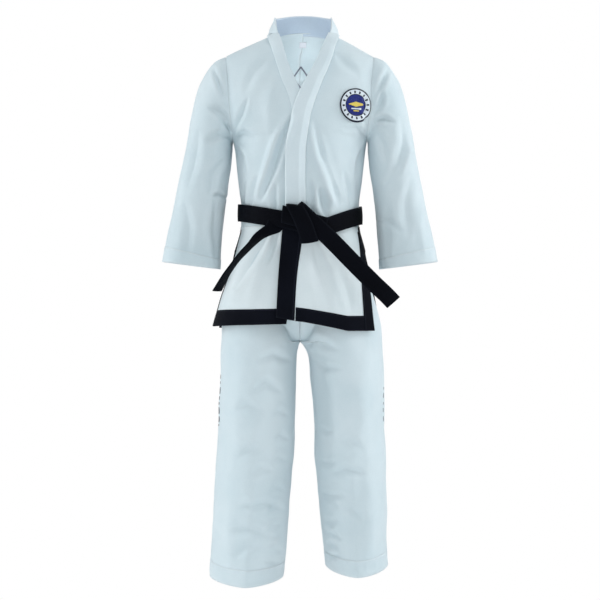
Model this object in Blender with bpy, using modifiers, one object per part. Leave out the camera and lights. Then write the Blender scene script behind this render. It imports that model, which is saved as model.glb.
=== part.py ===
"""A martial arts uniform as worn: wrap jacket with black trim, tied belt and trousers.

Metres, +Z up. The front faces -Y and the wearer's left is +X. The origin is the centre of the
neck opening at the height of the neck-to-shoulder points, where the wearer or a stand holds it.
Every cloth piece is a thin closed shell: an open sheet with a Solidify modifier. Pieces of one
moving body have their origin on that body's joint axis.
"""

import math

import bmesh
import bpy
from mathutils import Vector

# ---------------------------------------------------------------- driving dimensions
CLOTH = 0.0020  # thickness of a cloth panel
TRIM = 0.0012  # thickness of a trim strip, tape or patch
GAP = 0.0007  # between pieces that touch
STRAP = 0.0025  # thickness of the belt
STRAP_WIDTH = 0.041
TUCK = 0.0065  # a sleeve's or leg's clearance inside the piece it swings in
ON_CLOTH = CLOTH + 0.0012  # lift of a piece that lies on a panel

SHOULDER_X = 0.175  # shoulder tip, where the sleeve seam starts
SHOULDER_Z = -0.048
ARMPIT_X = 0.160
ARMPIT_Z = -0.245
NECK_Z = -0.002
JACKET_BOTTOM_Z = -0.4620  # the jacket body ends behind the belt's lower edge
SKIRT_TOP_Z = -0.4700
BACK_RISE = 0.022  # the back neck edge stands this much above the neck points
COLLAR_HEIGHT = 0.044
BELT_TURNS = 2

WAIST_TOP_Z = -0.372
WAISTBAND_HEIGHT = 0.040
SEAT_BOTTOM_Z = -0.690
LEG_TOP_Z = -0.684

BADGE_X = 0.127
BADGE_Z = -0.174
BADGE_RADIUS = 0.036
BODY_POWER = 2 / 2.3  # roundness of the jacket's sections
SEAT_POWER = 2 / 3.0  # and of the squarer trouser seat
STEP = 0.0005  # for the numerical surface normal

# joint axes
ARM_PIVOT = Vector((0.172, 0.0, -0.100))
FLAP_PIVOT = Vector((0.1081, -0.0731, SKIRT_TOP_Z))
BACK_PIVOT = Vector((0.0, 0.0940, SKIRT_TOP_Z))
LEFT_TAIL_PIVOT = Vector((0.083, -0.1370, -0.4800))
RIGHT_TAIL_PIVOT = Vector((-0.063, -0.1300, -0.4560))
TROUSER_PIVOT = Vector((0.0, 0.0, WAIST_TOP_Z))
LEG_PIVOT = Vector((0.0975, 0.0, -0.700))
FIXED = Vector((0.0, 0.0, 0.0))

# ---------------------------------------------------------------- helpers


def clear_scene():
    for obj in list(bpy.data.objects):
        bpy.data.objects.remove(obj)


def curve(*keys):
    """A smooth function through (position, value) keys. Outside them the end value holds."""
    keys = sorted(keys)
    at = [k[0] for k in keys]
    value = [k[1] for k in keys]
    slope = []
    for i in range(len(keys)):
        a, b = max(i - 1, 0), min(i + 1, len(keys) - 1)
        slope.append((value[b] - value[a]) / (at[b] - at[a]))

    def evaluate(s):
        if s <= at[0]:
            return value[0]
        if s >= at[-1]:
            return value[-1]
        i = max(k for k in range(len(at) - 1) if at[k] <= s)
        step = at[i + 1] - at[i]
        t = (s - at[i]) / step
        near = (2 * t**3 - 3 * t**2 + 1) * value[i] + (t**3 - 2 * t**2 + t) * step * slope[i]
        far = (3 * t**2 - 2 * t**3) * value[i + 1] + (t**3 - t**2) * step * slope[i + 1]
        return near + far

    return evaluate


def steps(first, last, count):
    """count + 1 evenly spaced numbers."""
    return [first + (last - first) * i / count for i in range(count + 1)]


def mix(a, b, t):
    return a + (b - a) * t


def mirror_x(point):
    return Vector((-point.x, point.y, point.z))


def material(name, color, roughness):
    made = bpy.data.materials.new(name)
    made.use_nodes = True
    shader = made.node_tree.nodes["Principled BSDF"]
    shader.inputs["Base Color"].default_value = (*color, 1.0)
    shader.inputs["Roughness"].default_value = roughness
    return made


def add_object(name, data, look, pivot):
    obj = bpy.data.objects.new(name, data)
    obj.location = pivot
    data.materials.append(look)
    PARTS.objects.link(obj)
    return obj


def sheet(name, rows, look, thick=CLOTH, pivot=FIXED, closed=False, capped=False, outward=True):
    """A thin solid from a grid of points. closed joins each row's ends, as in a sleeve, and
    capped fills the last row, as in a disc. The points are its inner face, or its outer face
    when outward is False."""
    mesh = bmesh.new()
    grid = [[mesh.verts.new(point - pivot) for point in row] for row in rows]
    across = len(rows[0])
    for i in range(len(rows) - 1):
        for j in range(across if closed else across - 1):
            k = (j + 1) % across
            mesh.faces.new((grid[i][j], grid[i][k], grid[i + 1][k], grid[i + 1][j]))
    if capped:
        mesh.faces.new(grid[-1])
    data = bpy.data.meshes.new(name)
    mesh.to_mesh(data)
    mesh.free()
    data.shade_smooth()
    obj = add_object(name, data, look, pivot)
    solidify = obj.modifiers.new("Thickness", "SOLIDIFY")
    solidify.thickness = thick
    solidify.offset = 1.0 if outward else -1.0
    solidify.use_even_offset = False
    return obj


def lifted(surface, u, v, lift):
    """A point of surface(u, v) moved out along the surface's normal, away from the axis."""
    here = surface(u, v)
    along = surface(u + STEP, v) - surface(u - STEP, v)
    up = surface(u, v + STEP) - surface(u, v - STEP)
    normal = along.cross(up).normalized()
    away = Vector((here.x, here.y, 0.0)) - surface.axis(v)
    if normal.dot(away) < 0:
        normal.negate()
    return here + normal * lift


# ---------------------------------------------------------------- body surfaces


def superellipse(half, depth, angle, power=BODY_POWER):
    s, c = math.sin(angle), math.cos(angle)
    return half * math.copysign(abs(s) ** power, s), depth * math.copysign(abs(c) ** power, c)


def angle_of(x, half):
    """The section angle at which a section of that half width reaches x."""
    share = min(1.0, abs(x) / half)
    return math.copysign(math.asin(share ** (1 / BODY_POWER)), x)


# Half width and depths of the jacket by height. Above the armpit the half width runs on past
# the sleeve seam, and above the shoulder tip it follows the shoulder line up to the neck point.
JACKET_HALF = curve(
    (-0.705, 0.2160), (-0.620, 0.1900), (-0.535, 0.1610), (-0.470, 0.1420), (-0.440, 0.1395),
    (-0.400, 0.1395), (-0.340, 0.1480), (-0.245, 0.1605), (-0.225, 0.1800), (-0.195, 0.1950),
    (-0.150, 0.2030), (-0.105, 0.2030), (-0.070, 0.1960), (-0.053, 0.1830), (-0.048, 0.1755),
    (-0.024, 0.1290), (0.000, 0.0800),
)
JACKET_FRONT = curve(
    (-0.705, 0.1360), (-0.600, 0.1270), (-0.470, 0.1145), (-0.420, 0.1120), (-0.340, 0.1180),
    (-0.245, 0.1240), (-0.150, 0.1180), (-0.100, 0.1030), (-0.048, 0.0760), (-0.024, 0.0600),
    (0.000, 0.0480),
)
JACKET_BACK = curve(
    (-0.705, 0.1340), (-0.600, 0.1240), (-0.470, 0.1100), (-0.420, 0.1070), (-0.340, 0.1120),
    (-0.245, 0.1180), (-0.150, 0.1160), (-0.100, 0.1080), (-0.048, 0.0880), (-0.024, 0.0760),
    (0.020, 0.0620),
)


class Tube:
    """A surface by section angle and height: 0 is the front middle, 180 degrees the back."""

    def __init__(self, middle, half, front, back, power=BODY_POWER):
        self.middle, self.half, self.front, self.back, self.power = middle, half, front, back, power

    def axis(self, z):
        return Vector((self.middle(z), 0.0, 0.0))

    def __call__(self, angle, z):
        depth = self.front(z) if math.cos(angle) > 0 else self.back(z)
        x, y = superellipse(self.half(z), depth, angle, self.power)
        return Vector((self.middle(z) + x, -y, z))


JACKET = Tube(lambda z: 0.0, JACKET_HALF, JACKET_FRONT, JACKET_BACK)


def on_front(x, z, lift=0.0):
    """The point of the jacket's front at x and z."""
    return lifted(JACKET, angle_of(x, JACKET_HALF(z)), z, lift)


def side_angle(z):
    """The angle of a jacket panel's outer edge: side seam, sleeve seam or shoulder seam."""
    if ARMPIT_Z < z < SHOULDER_Z:
        seam = mix(ARMPIT_X, SHOULDER_X, (z - ARMPIT_Z) / (SHOULDER_Z - ARMPIT_Z))
        return min(angle_of(seam, JACKET_HALF(z)), math.radians(89.2))
    return math.radians(89.2)


# The front bands' seams and free edges, as x by height. The wearer's left band lies on top.
LEFT_SEAM = curve((-0.470, 0.012), (-0.270, 0.012), (-0.211, 0.019), (-0.173, 0.027), (-0.115, 0.048),
                  (-0.062, 0.068), (-0.002, 0.082))
LEFT_PANEL_EDGE = curve((-0.470, 0.007), (-0.270, 0.007), (-0.211, 0.014), (-0.173, 0.022),
                        (-0.115, 0.042), (-0.062, 0.061), (-0.026, 0.0725), (-0.002, 0.0832))
RIGHT_PANEL_EDGE = curve((-0.470, 0.002), (-0.270, 0.002), (-0.211, 0.007), (-0.165, 0.003),
                         (-0.120, -0.025), (-0.062, -0.049), (-0.026, -0.067), (-0.002, -0.0832))

# Each band from the belt up: seam x, seam z, edge x, edge z, lift at the seam, lift at the edge,
# share of the chest's depth.
LEFT_BAND = (
    (0.012, -0.4620, -0.036, -0.4620, 0.0036, 0.0074, 1.0),
    (0.012, -0.400, -0.034, -0.400, 0.0036, 0.0074, 1.0),
    (0.012, -0.370, -0.034, -0.370, 0.0036, 0.0106, 1.0),
    (0.012, -0.300, -0.034, -0.300, 0.0036, 0.0106, 1.0),
    (0.013, -0.250, -0.029, -0.250, 0.0036, 0.0106, 1.0),
    (0.019, -0.211, -0.023, -0.207, 0.0036, 0.0104, 1.0),
    (0.027, -0.173, -0.015, -0.166, 0.0036, 0.0090, 1.0),
    (0.048, -0.115, 0.004, -0.116, 0.0036, 0.0076, 1.0),
    (0.068, -0.062, 0.034, -0.062, 0.0036, 0.0056, 1.0),
    (0.077, -0.026, 0.054, -0.010, 0.0058, 0.0058, 1.0),
    (0.0845, -0.004, 0.0640, 0.018, 0.0064, 0.0030, 1.0),
    (0.0860, 0.0040, 0.0670, 0.046, 0.0, 0.0, 0.02),
)
RIGHT_BAND = (
    (-0.029, -0.4620, 0.000, -0.4620, 0.0034, 0.0034, 1.0),
    (-0.029, -0.300, 0.000, -0.300, 0.0034, 0.0034, 1.0),
    (-0.024, -0.250, 0.001, -0.250, 0.0034, 0.0034, 1.0),
    (-0.018, -0.205, 0.005, -0.205, 0.0034, 0.0034, 1.0),
    (-0.022, -0.158, 0.008, -0.158, 0.0034, 0.0034, 1.0),
    (-0.041, -0.105, 0.000, -0.113, 0.0036, 0.0034, 1.0),
    (-0.060, -0.055, -0.029, -0.062, 0.0036, 0.0036, 1.0),
    (-0.076, -0.024, -0.050, -0.010, 0.0058, 0.0058, 1.0),
    (-0.0845, -0.004, -0.0640, 0.018, 0.0064, 0.0030, 1.0),
    (-0.0860, 0.0040, -0.0670, 0.046, 0.0, 0.0, 0.02),
)

# ---------------------------------------------------------------- jacket body


def body_heights():
    heights = steps(JACKET_BOTTOM_Z, ARMPIT_Z, 5)
    return heights + [-0.240, -0.225, -0.195, -0.150, -0.105, -0.070, -0.053, SHOULDER_Z]


def front_panel(name, side, edge):
    """side 1 is the wearer's left. The panel runs from under its band to its side."""
    rows = []
    for z in body_heights() + [-0.034, -0.018, NECK_Z]:
        inner = angle_of(edge(z), JACKET_HALF(z))
        outer = side * side_angle(z)
        row = [JACKET(angle, z) for angle in steps(inner, outer, 8)]
        rows.append(row if side > 0 else row[::-1])
    return sheet(name, rows, WHITE)


def back_panel():
    rows = []
    for z in body_heights():
        edge = side_angle(z)
        rows.append([JACKET(math.pi + angle, z) for angle in steps(-edge, edge, 14)])
    for share in (0.33, 0.66, 1.0):
        side_z = mix(SHOULDER_Z, NECK_Z, share)
        edge = side_angle(side_z)
        row = []
        for angle in steps(-edge, edge, 14):
            z = side_z + BACK_RISE * share * math.cos(angle) ** 2
            row.append(JACKET(math.pi + angle, z))
        rows.append(row)
    return sheet("jacket_back_panel", rows, WHITE)


def front_band(name, stations, turned):
    """A band along a front edge and up to the neck, from its stations' two rails."""
    rails = [curve(*[(station[1], value) for station, value in zip(stations, column)])
             for column in zip(*stations)]
    heights = [z for z in body_heights() if z < stations[-4][1]] + [station[1] for station in stations[-4:]]
    rows = []
    for seam_z in heights:
        seam_x, _, edge_x, edge_z, seam_lift, edge_lift, depth = [rail(seam_z) for rail in rails]
        row = []
        for share in (0.0, 0.25, 0.6, 1.0):
            lift = mix(seam_lift, edge_lift, min(1.0, share * 4))
            point = on_front(mix(seam_x, edge_x, share), mix(seam_z, edge_z, share), lift)
            point.y *= depth
            row.append(point)
        rows.append(row[::-1] if turned else row)
    return sheet(name, rows, WHITE)


def back_collar():
    """The collar behind the neck, standing on the back panel's neck edge."""
    rows = []
    for share in (0.0, 0.5, 1.0):
        row = []
        for angle in steps(-math.radians(89.0), math.radians(89.0), 14):
            half, depth = mix(0.0850, 0.0670, share), mix(0.0640, 0.0520, share)
            x, y = superellipse(half, depth, angle)
            rise = math.cos(angle) ** 2 * mix(BACK_RISE, 0.015, share)
            row.append(Vector((-x, y + GAP, 0.0035 + COLLAR_HEIGHT * share + rise)))
        rows.append(row)
    return sheet("collar_back", rows, WHITE)


def front_patch(name, low_x, high_x, low_z, high_z, lift, look):
    rows = [[on_front(x, z, lift) for x in steps(low_x, high_x, 2)] for z in steps(low_z, high_z, 3)]
    return sheet(name, rows, look, TRIM)


def closure_tapes():
    """Two pairs of tapes that hold the wrap shut between the bands."""
    on_band = 0.0034 + CLOTH + GAP
    for place, low_z in (("upper", -0.268), ("lower", -0.366)):
        front_patch(f"closure_loop_{place}", -0.018, -0.003, low_z, low_z + 0.050, on_band, TAPE)
        hook_lift = on_band + TRIM + GAP
        front_patch(f"closure_hook_{place}", -0.018, -0.003, low_z, low_z + 0.050, hook_lift, TAPE)


def chest_badge():
    rows = []
    for radius in (BADGE_RADIUS, BADGE_RADIUS * 0.6, BADGE_RADIUS * 0.25):
        row = []
        for turn in steps(0.0, 2 * math.pi, 16)[:-1]:
            x = BADGE_X + radius * math.cos(turn)
            row.append(on_front(x, BADGE_Z + radius * math.sin(turn), ON_CLOTH + GAP))
        rows.append(row)
    return sheet("chest_badge", rows, BLUE, TRIM, closed=True, capped=True)


def neck_label():
    rows = []
    for z in steps(-0.018, -0.004, 2):
        rows.append([lifted(JACKET, math.pi + angle, z, -0.0008) for angle in steps(-0.10, 0.10, 2)])
    return sheet("neck_label", rows, TAPE, TRIM, outward=False)


def build_jacket():
    front_panel("jacket_front_left_panel", 1, LEFT_PANEL_EDGE)
    front_panel("jacket_front_right_panel", -1, RIGHT_PANEL_EDGE)
    back_panel()
    front_band("front_band_left", LEFT_BAND, True)
    front_band("front_band_right", RIGHT_BAND, False)
    back_collar()
    closure_tapes()
    chest_badge()
    neck_label()


# ---------------------------------------------------------------- sleeves

# Outer and inner profile points of a sleeve seen from the front, and its half depth there.
SLEEVE_RINGS = (
    (0.2050, -0.0690, 0.1655, -0.2500, 0.070),
    (0.2370, -0.1150, 0.1660, -0.2680, 0.074),
    (0.2570, -0.1870, 0.1675, -0.3050, 0.071),
    (0.2680, -0.2520, 0.1740, -0.3500, 0.066),
    (0.2890, -0.3450, 0.1830, -0.4220, 0.062),
    (0.3080, -0.4400, 0.1890, -0.4900, 0.057),
    (0.3280, -0.5390, 0.1940, -0.5560, 0.052),
)
RING_COUNT = 16


def sleeve_ring(outer_x, outer_z, inner_x, inner_z, depth, inset):
    """One ring of a sleeve. inset moves it in from the sleeve's face."""
    middle = Vector((outer_x + inner_x, 0.0, outer_z + inner_z)) / 2
    reach = Vector((outer_x, 0.0, outer_z)) - middle
    reach *= 1 - inset / reach.length
    ring = []
    for angle in steps(0.0, 2 * math.pi, RING_COUNT)[:-1]:
        across, y = superellipse(1.0, depth - inset, angle)
        ring.append(middle + reach * across + Vector((0.0, -y, 0.0)))
    return ring


def armhole_ring(out, inset):
    """The jacket's armhole, drawn in by inset and moved out along X."""
    middle = (ARMPIT_Z + SHOULDER_Z) / 2
    half = (SHOULDER_Z - ARMPIT_Z) / 2
    ring = []
    for angle in steps(0.0, 2 * math.pi, RING_COUNT)[:-1]:
        across, facing = superellipse(1.0, 1.0, angle)
        z = middle + half * across * 0.999
        turn = side_angle(z)
        point = JACKET(turn if facing > 0 else math.pi - turn, z)
        share = 1 - inset / math.hypot(point.y, z - middle)
        ring.append(Vector((point.x + out, point.y * share, middle + (z - middle) * share)))
    return ring


def build_sleeve(side, name):
    flip = (lambda p: p) if side > 0 else mirror_x
    pivot = flip(ARM_PIVOT)
    rings = [armhole_ring(-0.004, TUCK), armhole_ring(0.008, TUCK)]
    rings += [sleeve_ring(*station, 0.0) for station in SLEEVE_RINGS]
    last, above = SLEEVE_RINGS[-1], SLEEVE_RINGS[-2]
    cuff = [[mix(a, b, share) for a, b in zip(last, above)] for share in (0.0, 0.14, 0.28)]
    hem = [sleeve_ring(*station, GAP) for station in cuff]
    rows = [[flip(point) for point in (row if side > 0 else row[::-1])] for row in rings[::-1]]
    hem = [[flip(point) for point in (row if side > 0 else row[::-1])] for row in hem]
    sheet(f"{name}_sleeve", rows, WHITE, pivot=pivot, closed=True)
    sheet(f"{name}_cuff_hem", hem, WHITE, TRIM, pivot=pivot, closed=True, outward=False)


# ---------------------------------------------------------------- jacket skirt below the belt

LEFT_INNER = curve((-0.470, -0.0410), (-0.580, -0.0500), (-0.700, -0.0560))
LEFT_OUTER = curve((-0.470, 0.1415), (-0.540, 0.1560), (-0.705, 0.1750))
RIGHT_INNER = curve((-0.470, -0.0435), (-0.580, -0.0525), (-0.700, -0.0590))
RIGHT_OUTER = curve((-0.470, -0.1415), (-0.540, -0.1610), (-0.700, -0.2080))
TRIM_SHARE = {"left": 0.155, "right": 0.24, "back": 0.085}


def flap_point(side, share, down, lift):
    """A point of a front flap. share runs from the front edge to the slit, down to the hem."""
    inner, outer = (LEFT_INNER, LEFT_OUTER) if side == "left" else (RIGHT_INNER, RIGHT_OUTER)
    hem = mix(-0.671, -0.702, min(1.0, share * 1.6)) if side == "left" else mix(-0.683, -0.693, share)
    z = mix(SKIRT_TOP_Z, hem, down)
    half = JACKET_HALF(z)
    return lifted(JACKET, mix(angle_of(inner(z), half), angle_of(outer(z), half), share), z, lift)


def back_point(share, down, lift):
    z = mix(SKIRT_TOP_Z, -0.698, down)
    half = JACKET_HALF(z)
    edge = angle_of(mix(0.1415, 0.1950, down), half)
    return lifted(JACKET, math.pi + mix(-edge, edge, share), z, lift)


def skirt_piece(name, point, shares, downs, lift, thick, look, pivot, turned):
    rows = [[point(share, down, lift) for share in shares] for down in downs[::-1]]
    if turned:
        rows = [row[::-1] for row in rows]
    return sheet(name, rows, look, thick, pivot)


def build_flap(side):
    def point(share, down, lift):
        return flap_point(side, share, down, lift)

    pivot = FLAP_PIVOT if side == "left" else mirror_x(FLAP_PIVOT)
    turned = side == "right"
    edge = TRIM_SHARE[side]
    slit_edge = 1 - edge
    hem_start = edge + 0.005 if side == "left" else 0.0
    skirt_piece(f"{side}_front_skirt", point, steps(0.0, 1.0, 8), steps(0.0, 1.0, 5), 0.0, CLOTH, WHITE, pivot,
                turned)
    if side == "left":
        skirt_piece("left_front_edge_trim", point, steps(0.0, edge, 2), steps(0.0, 1.0, 5), ON_CLOTH, TRIM,
                    BLACK, pivot, turned)
    skirt_piece(f"{side}_front_slit_trim", point, steps(slit_edge, 1.0, 2), steps(0.0, 1.0, 5), ON_CLOTH, TRIM,
                BLACK, pivot, turned)
    skirt_piece(f"{side}_front_hem_trim", point, steps(hem_start, slit_edge - 0.005, 6),
                steps(0.83, 1.0, 2), ON_CLOTH, TRIM, BLACK, pivot, turned)


def build_back_skirt():
    edge = TRIM_SHARE["back"]
    skirt_piece("back_skirt", back_point, steps(0.0, 1.0, 14), steps(0.0, 1.0, 5), 0.0, CLOTH, WHITE,
                BACK_PIVOT, False)
    skirt_piece("back_right_slit_trim", back_point, steps(1 - edge, 1.0, 2), steps(0.0, 1.0, 5), ON_CLOTH, TRIM,
                BLACK, BACK_PIVOT, False)
    skirt_piece("back_left_slit_trim", back_point, steps(0.0, edge, 2), steps(0.0, 1.0, 5), ON_CLOTH, TRIM,
                BLACK, BACK_PIVOT, False)
    skirt_piece("back_hem_trim", back_point, steps(edge + 0.004, 1 - edge - 0.004, 12),
                steps(0.83, 1.0, 2), ON_CLOTH, TRIM, BLACK, BACK_PIVOT, False)


# ---------------------------------------------------------------- belt

BELT_MIDDLE = curve((-0.150, -0.4165), (-0.050, -0.4300), (0.000, -0.4380), (0.060, -0.4470), (0.150, -0.4300))
BELT_Z = -0.430
BELT_SIDE_LIFT = 0.0036
BELT_LIFT = curve((-0.110, 0.0036), (-0.060, 0.0104), (0.000, 0.0108), (0.030, 0.0104), (0.090, 0.0036))


def belt_turn(index):
    """One turn of the belt round the waist. The second lies on the first."""
    names = ("belt_inner_turn", "belt_outer_turn")
    rows = []
    for side in (-0.5, 0.5):
        row = []
        for angle in steps(0.0, 2 * math.pi, 40)[:-1]:
            front = math.cos(angle) > 0
            x = JACKET(angle, BELT_Z).x
            middle = BELT_MIDDLE(x) if front else mix(BELT_MIDDLE(-0.15), BELT_MIDDLE(0.15), (x + 0.15) / 0.3)
            lift = BELT_LIFT(x) if front else BELT_SIDE_LIFT
            z = middle + side * STRAP_WIDTH
            point = lifted(JACKET, angle, z, lift + index * (STRAP + GAP * 2))
            point.z = z
            row.append(point)
        rows.append(row)
    return sheet(names[index], rows, BELT, STRAP, closed=True)


def strap(name, stations, look, pivot, thick=STRAP):
    """A flat strap through stations of centre and half width vector."""
    rows = []
    for centre, reach in stations:
        middle, half = Vector(centre), Vector(reach)
        rows.append([middle - half, middle, middle + half])
    return sheet(name, rows[::-1], look, thick, pivot)


LEFT_TAIL = (
    ((0.0830, -0.1340, -0.4850), (0.0180, 0.0000, 0.0070)),
    ((0.0980, -0.1355, -0.5060), (0.0170, 0.0000, 0.0120)),
    ((0.1300, -0.1360, -0.5410), (0.0145, 0.0000, 0.0140)),
    ((0.1700, -0.1330, -0.5820), (0.0140, 0.0000, 0.0140)),
    ((0.2000, -0.1280, -0.6120), (0.0145, 0.0000, 0.0135)),
    ((0.2240, -0.1220, -0.6370), (0.0150, 0.0000, 0.0110)),
)
RIGHT_TAIL = (
    ((-0.0630, -0.1290, -0.4600), (0.0195, 0.0000, -0.0050)),
    ((-0.0850, -0.1300, -0.4760), (0.0120, 0.0130, -0.0040)),
    ((-0.1080, -0.1310, -0.4950), (0.0050, 0.0185, -0.0030)),
    ((-0.1380, -0.1300, -0.5260), (0.0040, 0.0190, -0.0020)),
    ((-0.1700, -0.1280, -0.5640), (0.0055, 0.0185, -0.0010)),
    ((-0.1980, -0.1260, -0.6100), (0.0090, 0.0165, 0.0000)),
)


def knot_core():
    """The folded strap inside the knot."""
    mesh = bmesh.new()
    bmesh.ops.create_cube(mesh, size=1.0)
    for vert in mesh.verts:
        vert.co = Vector((vert.co.x * 0.076, vert.co.y * 0.0090, vert.co.z * 0.0600))
        vert.co.z -= vert.co.x * 0.28
    bmesh.ops.bevel(mesh, geom=mesh.edges[:], offset=0.0035, segments=2, affect="EDGES", profile=0.5)
    data = bpy.data.meshes.new("belt_knot_core")
    mesh.to_mesh(data)
    mesh.free()
    obj = add_object("belt_knot_core", data, BELT, FIXED)
    obj.location = Vector((0.0120, -0.1370, -0.4430))
    return obj


def knot_pass():
    """The strap's last pass, over the front of the knot."""
    rows = []
    for z, y in ((-0.490, -0.1350), (-0.486, -0.1430), (-0.465, -0.1437), (-0.425, -0.1437), (-0.402, -0.1430),
                 (-0.397, -0.1350)):
        lean = (z + 0.445) * -0.55
        rows.append([Vector((x + lean, y, z - (x - 0.012) * 0.16)) for x in steps(-0.010, 0.034, 2)])
    return sheet("belt_knot_pass", rows, BELT, STRAP)


def build_belt():
    for index in range(BELT_TURNS):
        belt_turn(index)
    knot_core()
    knot_pass()
    strap("left_belt_tail", LEFT_TAIL, BELT, LEFT_TAIL_PIVOT)
    strap("right_belt_tail", RIGHT_TAIL, BELT, RIGHT_TAIL_PIVOT)


# ---------------------------------------------------------------- trousers

SEAT = Tube(
    lambda z: 0.0,
    curve((-0.690, 0.1900), (-0.620, 0.1720), (-0.550, 0.1500), (-0.470, 0.1310), (-0.420, 0.1280), (-0.372, 0.1270)),
    curve((-0.690, 0.1130), (-0.600, 0.1080), (-0.470, 0.0990), (-0.372, 0.0960)),
    curve((-0.690, 0.1170), (-0.600, 0.1110), (-0.470, 0.0960), (-0.372, 0.0920)),
    SEAT_POWER,
)


def leg_tube(outer, inner, depth):
    return Tube(lambda z: (outer(z) + inner(z)) / 2, lambda z: (outer(z) - inner(z)) / 2, depth, depth, 1.0)


LEG_DEPTH = curve((-0.684, 0.0980), (-0.720, 0.0990), (-0.780, 0.1060), (-0.950, 0.0920), (-1.290, 0.0760))
LEFT_LEG = leg_tube(
    curve((-0.684, 0.1815), (-0.722, 0.1840), (-0.770, 0.1940), (-0.905, 0.2000), (-1.260, 0.2080)),
    curve((-0.684, 0.0130), (-0.740, 0.0130), (-0.770, 0.0200), (-0.950, 0.0340), (-1.133, 0.0500), (-1.262, 0.0620)),
    LEG_DEPTH,
)
RIGHT_LEG = leg_tube(
    curve((-0.684, 0.1815), (-0.722, 0.1830), (-0.770, 0.1870), (-0.950, 0.1940), (-1.292, 0.2140)),
    curve((-0.684, 0.0130), (-0.811, 0.0130), (-0.986, 0.0160), (-1.147, 0.0290), (-1.289, 0.0410)),
    LEG_DEPTH,
)


def ring(tube, heights, lift, count=20):
    return [[lifted(tube, angle, z, lift) for angle in steps(0.0, 2 * math.pi, count)[:-1]] for z in heights]


def build_waist():
    heights = steps(WAIST_TOP_Z - WAISTBAND_HEIGHT, WAIST_TOP_Z, 1)
    sheet("waistband", ring(SEAT, heights, 0.0, 28), WHITE, pivot=TROUSER_PIVOT, closed=True)
    sheet("waist_elastic", ring(SEAT, steps(heights[0] + 0.006, heights[1] - 0.006, 1), -0.0010, 28), TAPE, TRIM,
          TROUSER_PIVOT, closed=True, outward=False)


def build_seat(side, name):
    start, end = (0.006, math.pi - 0.006) if side > 0 else (math.pi + 0.006, 2 * math.pi - 0.006)
    heights = steps(SEAT_BOTTOM_Z, WAIST_TOP_Z - WAISTBAND_HEIGHT - 0.001, 5)
    rows = [[SEAT(angle, z) for angle in steps(start, end, 12)] for z in heights]
    sheet(f"{name}_seat", rows, WHITE, pivot=TROUSER_PIVOT)


def build_gusset():
    rows = []
    for y, z in ((-0.100, -0.693), (-0.085, -0.706), (-0.045, -0.722), (0.0, -0.728), (0.045, -0.722), (0.085, -0.706),
                 (0.104, -0.693)):
        rows.append([Vector((x, y, z)) for x in steps(-0.009, 0.009, 2)])
    return sheet("crotch_gusset", rows[::-1], WHITE, pivot=TROUSER_PIVOT)


def build_leg(side, name, hem_z, dip, patch_top):
    flip = (lambda p: p) if side > 0 else mirror_x
    tube = LEFT_LEG if side > 0 else RIGHT_LEG
    pivot = flip(LEG_PIVOT)

    def leg_ring(down, lift):
        row = []
        for angle in steps(0.0, 2 * math.pi, 18)[:-1]:
            z = mix(LEG_TOP_Z, hem_z - dip * max(0.0, math.cos(angle)), down)
            row.append(flip(lifted(tube, angle, z, lift)))
        return row if side > 0 else row[::-1]

    downs = (0.0, 0.06, 0.14, 0.30, 0.48, 0.66, 0.84, 1.0)
    sheet(f"{name}_leg", [leg_ring(down, 0.0) for down in downs[::-1]], WHITE, pivot=pivot, closed=True)
    sheet(f"{name}_leg_hem", [leg_ring(down, -GAP) for down in (1.0, 0.96)], WHITE, TRIM, pivot, closed=True,
          outward=False)
    patch = []
    for z in steps(patch_top - 0.100, patch_top, 2):
        row = [flip(lifted(tube, math.radians(turn), z, ON_CLOTH)) for turn in (78.0, 88.0, 98.0)]
        patch.append(row if side > 0 else row[::-1])
    sheet(f"{name}_leg_side_patch", patch, TAPE, TRIM, pivot)


def build_trousers():
    build_waist()
    build_seat(1, "left")
    build_seat(-1, "right")
    build_gusset()
    build_leg(1, "left", -1.262, 0.022, -0.826)
    build_leg(-1, "right", -1.290, 0.018, -0.816)


# ---------------------------------------------------------------- build

clear_scene()
PARTS = bpy.data.collections.new("martial_arts_uniform")
bpy.context.scene.collection.children.link(PARTS)
WHITE = material("white_cloth", (0.78, 0.84, 0.88), 0.85)
BLACK = material("black_trim_cloth", (0.012, 0.014, 0.022), 0.80)
BELT = material("black_belt_webbing", (0.010, 0.012, 0.020), 0.70)
TAPE = material("grey_tape", (0.30, 0.32, 0.36), 0.90)
BLUE = material("badge_blue", (0.03, 0.05, 0.30), 0.60)

build_jacket()
build_sleeve(1, "left")
build_sleeve(-1, "right")
build_flap("left")
build_flap("right")
build_back_skirt()
build_belt()
build_trousers()
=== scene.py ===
import math

import bpy
import numpy as np
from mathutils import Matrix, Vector, noise


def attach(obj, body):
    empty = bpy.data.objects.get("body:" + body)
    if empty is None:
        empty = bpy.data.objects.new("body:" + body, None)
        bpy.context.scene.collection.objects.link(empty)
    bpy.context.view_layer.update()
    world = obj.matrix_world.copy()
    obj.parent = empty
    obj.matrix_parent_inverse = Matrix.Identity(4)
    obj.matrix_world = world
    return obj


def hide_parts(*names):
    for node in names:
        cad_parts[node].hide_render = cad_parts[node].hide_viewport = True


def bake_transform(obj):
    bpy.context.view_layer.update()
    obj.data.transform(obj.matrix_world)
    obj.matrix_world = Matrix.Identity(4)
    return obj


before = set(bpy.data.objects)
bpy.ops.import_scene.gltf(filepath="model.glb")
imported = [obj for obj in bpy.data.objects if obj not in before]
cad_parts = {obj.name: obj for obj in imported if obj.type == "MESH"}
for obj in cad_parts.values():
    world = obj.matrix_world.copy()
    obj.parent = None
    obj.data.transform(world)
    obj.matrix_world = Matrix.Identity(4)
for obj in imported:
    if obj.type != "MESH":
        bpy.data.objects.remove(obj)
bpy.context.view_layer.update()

# ---------------------------------------------------------------- helpers


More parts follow.
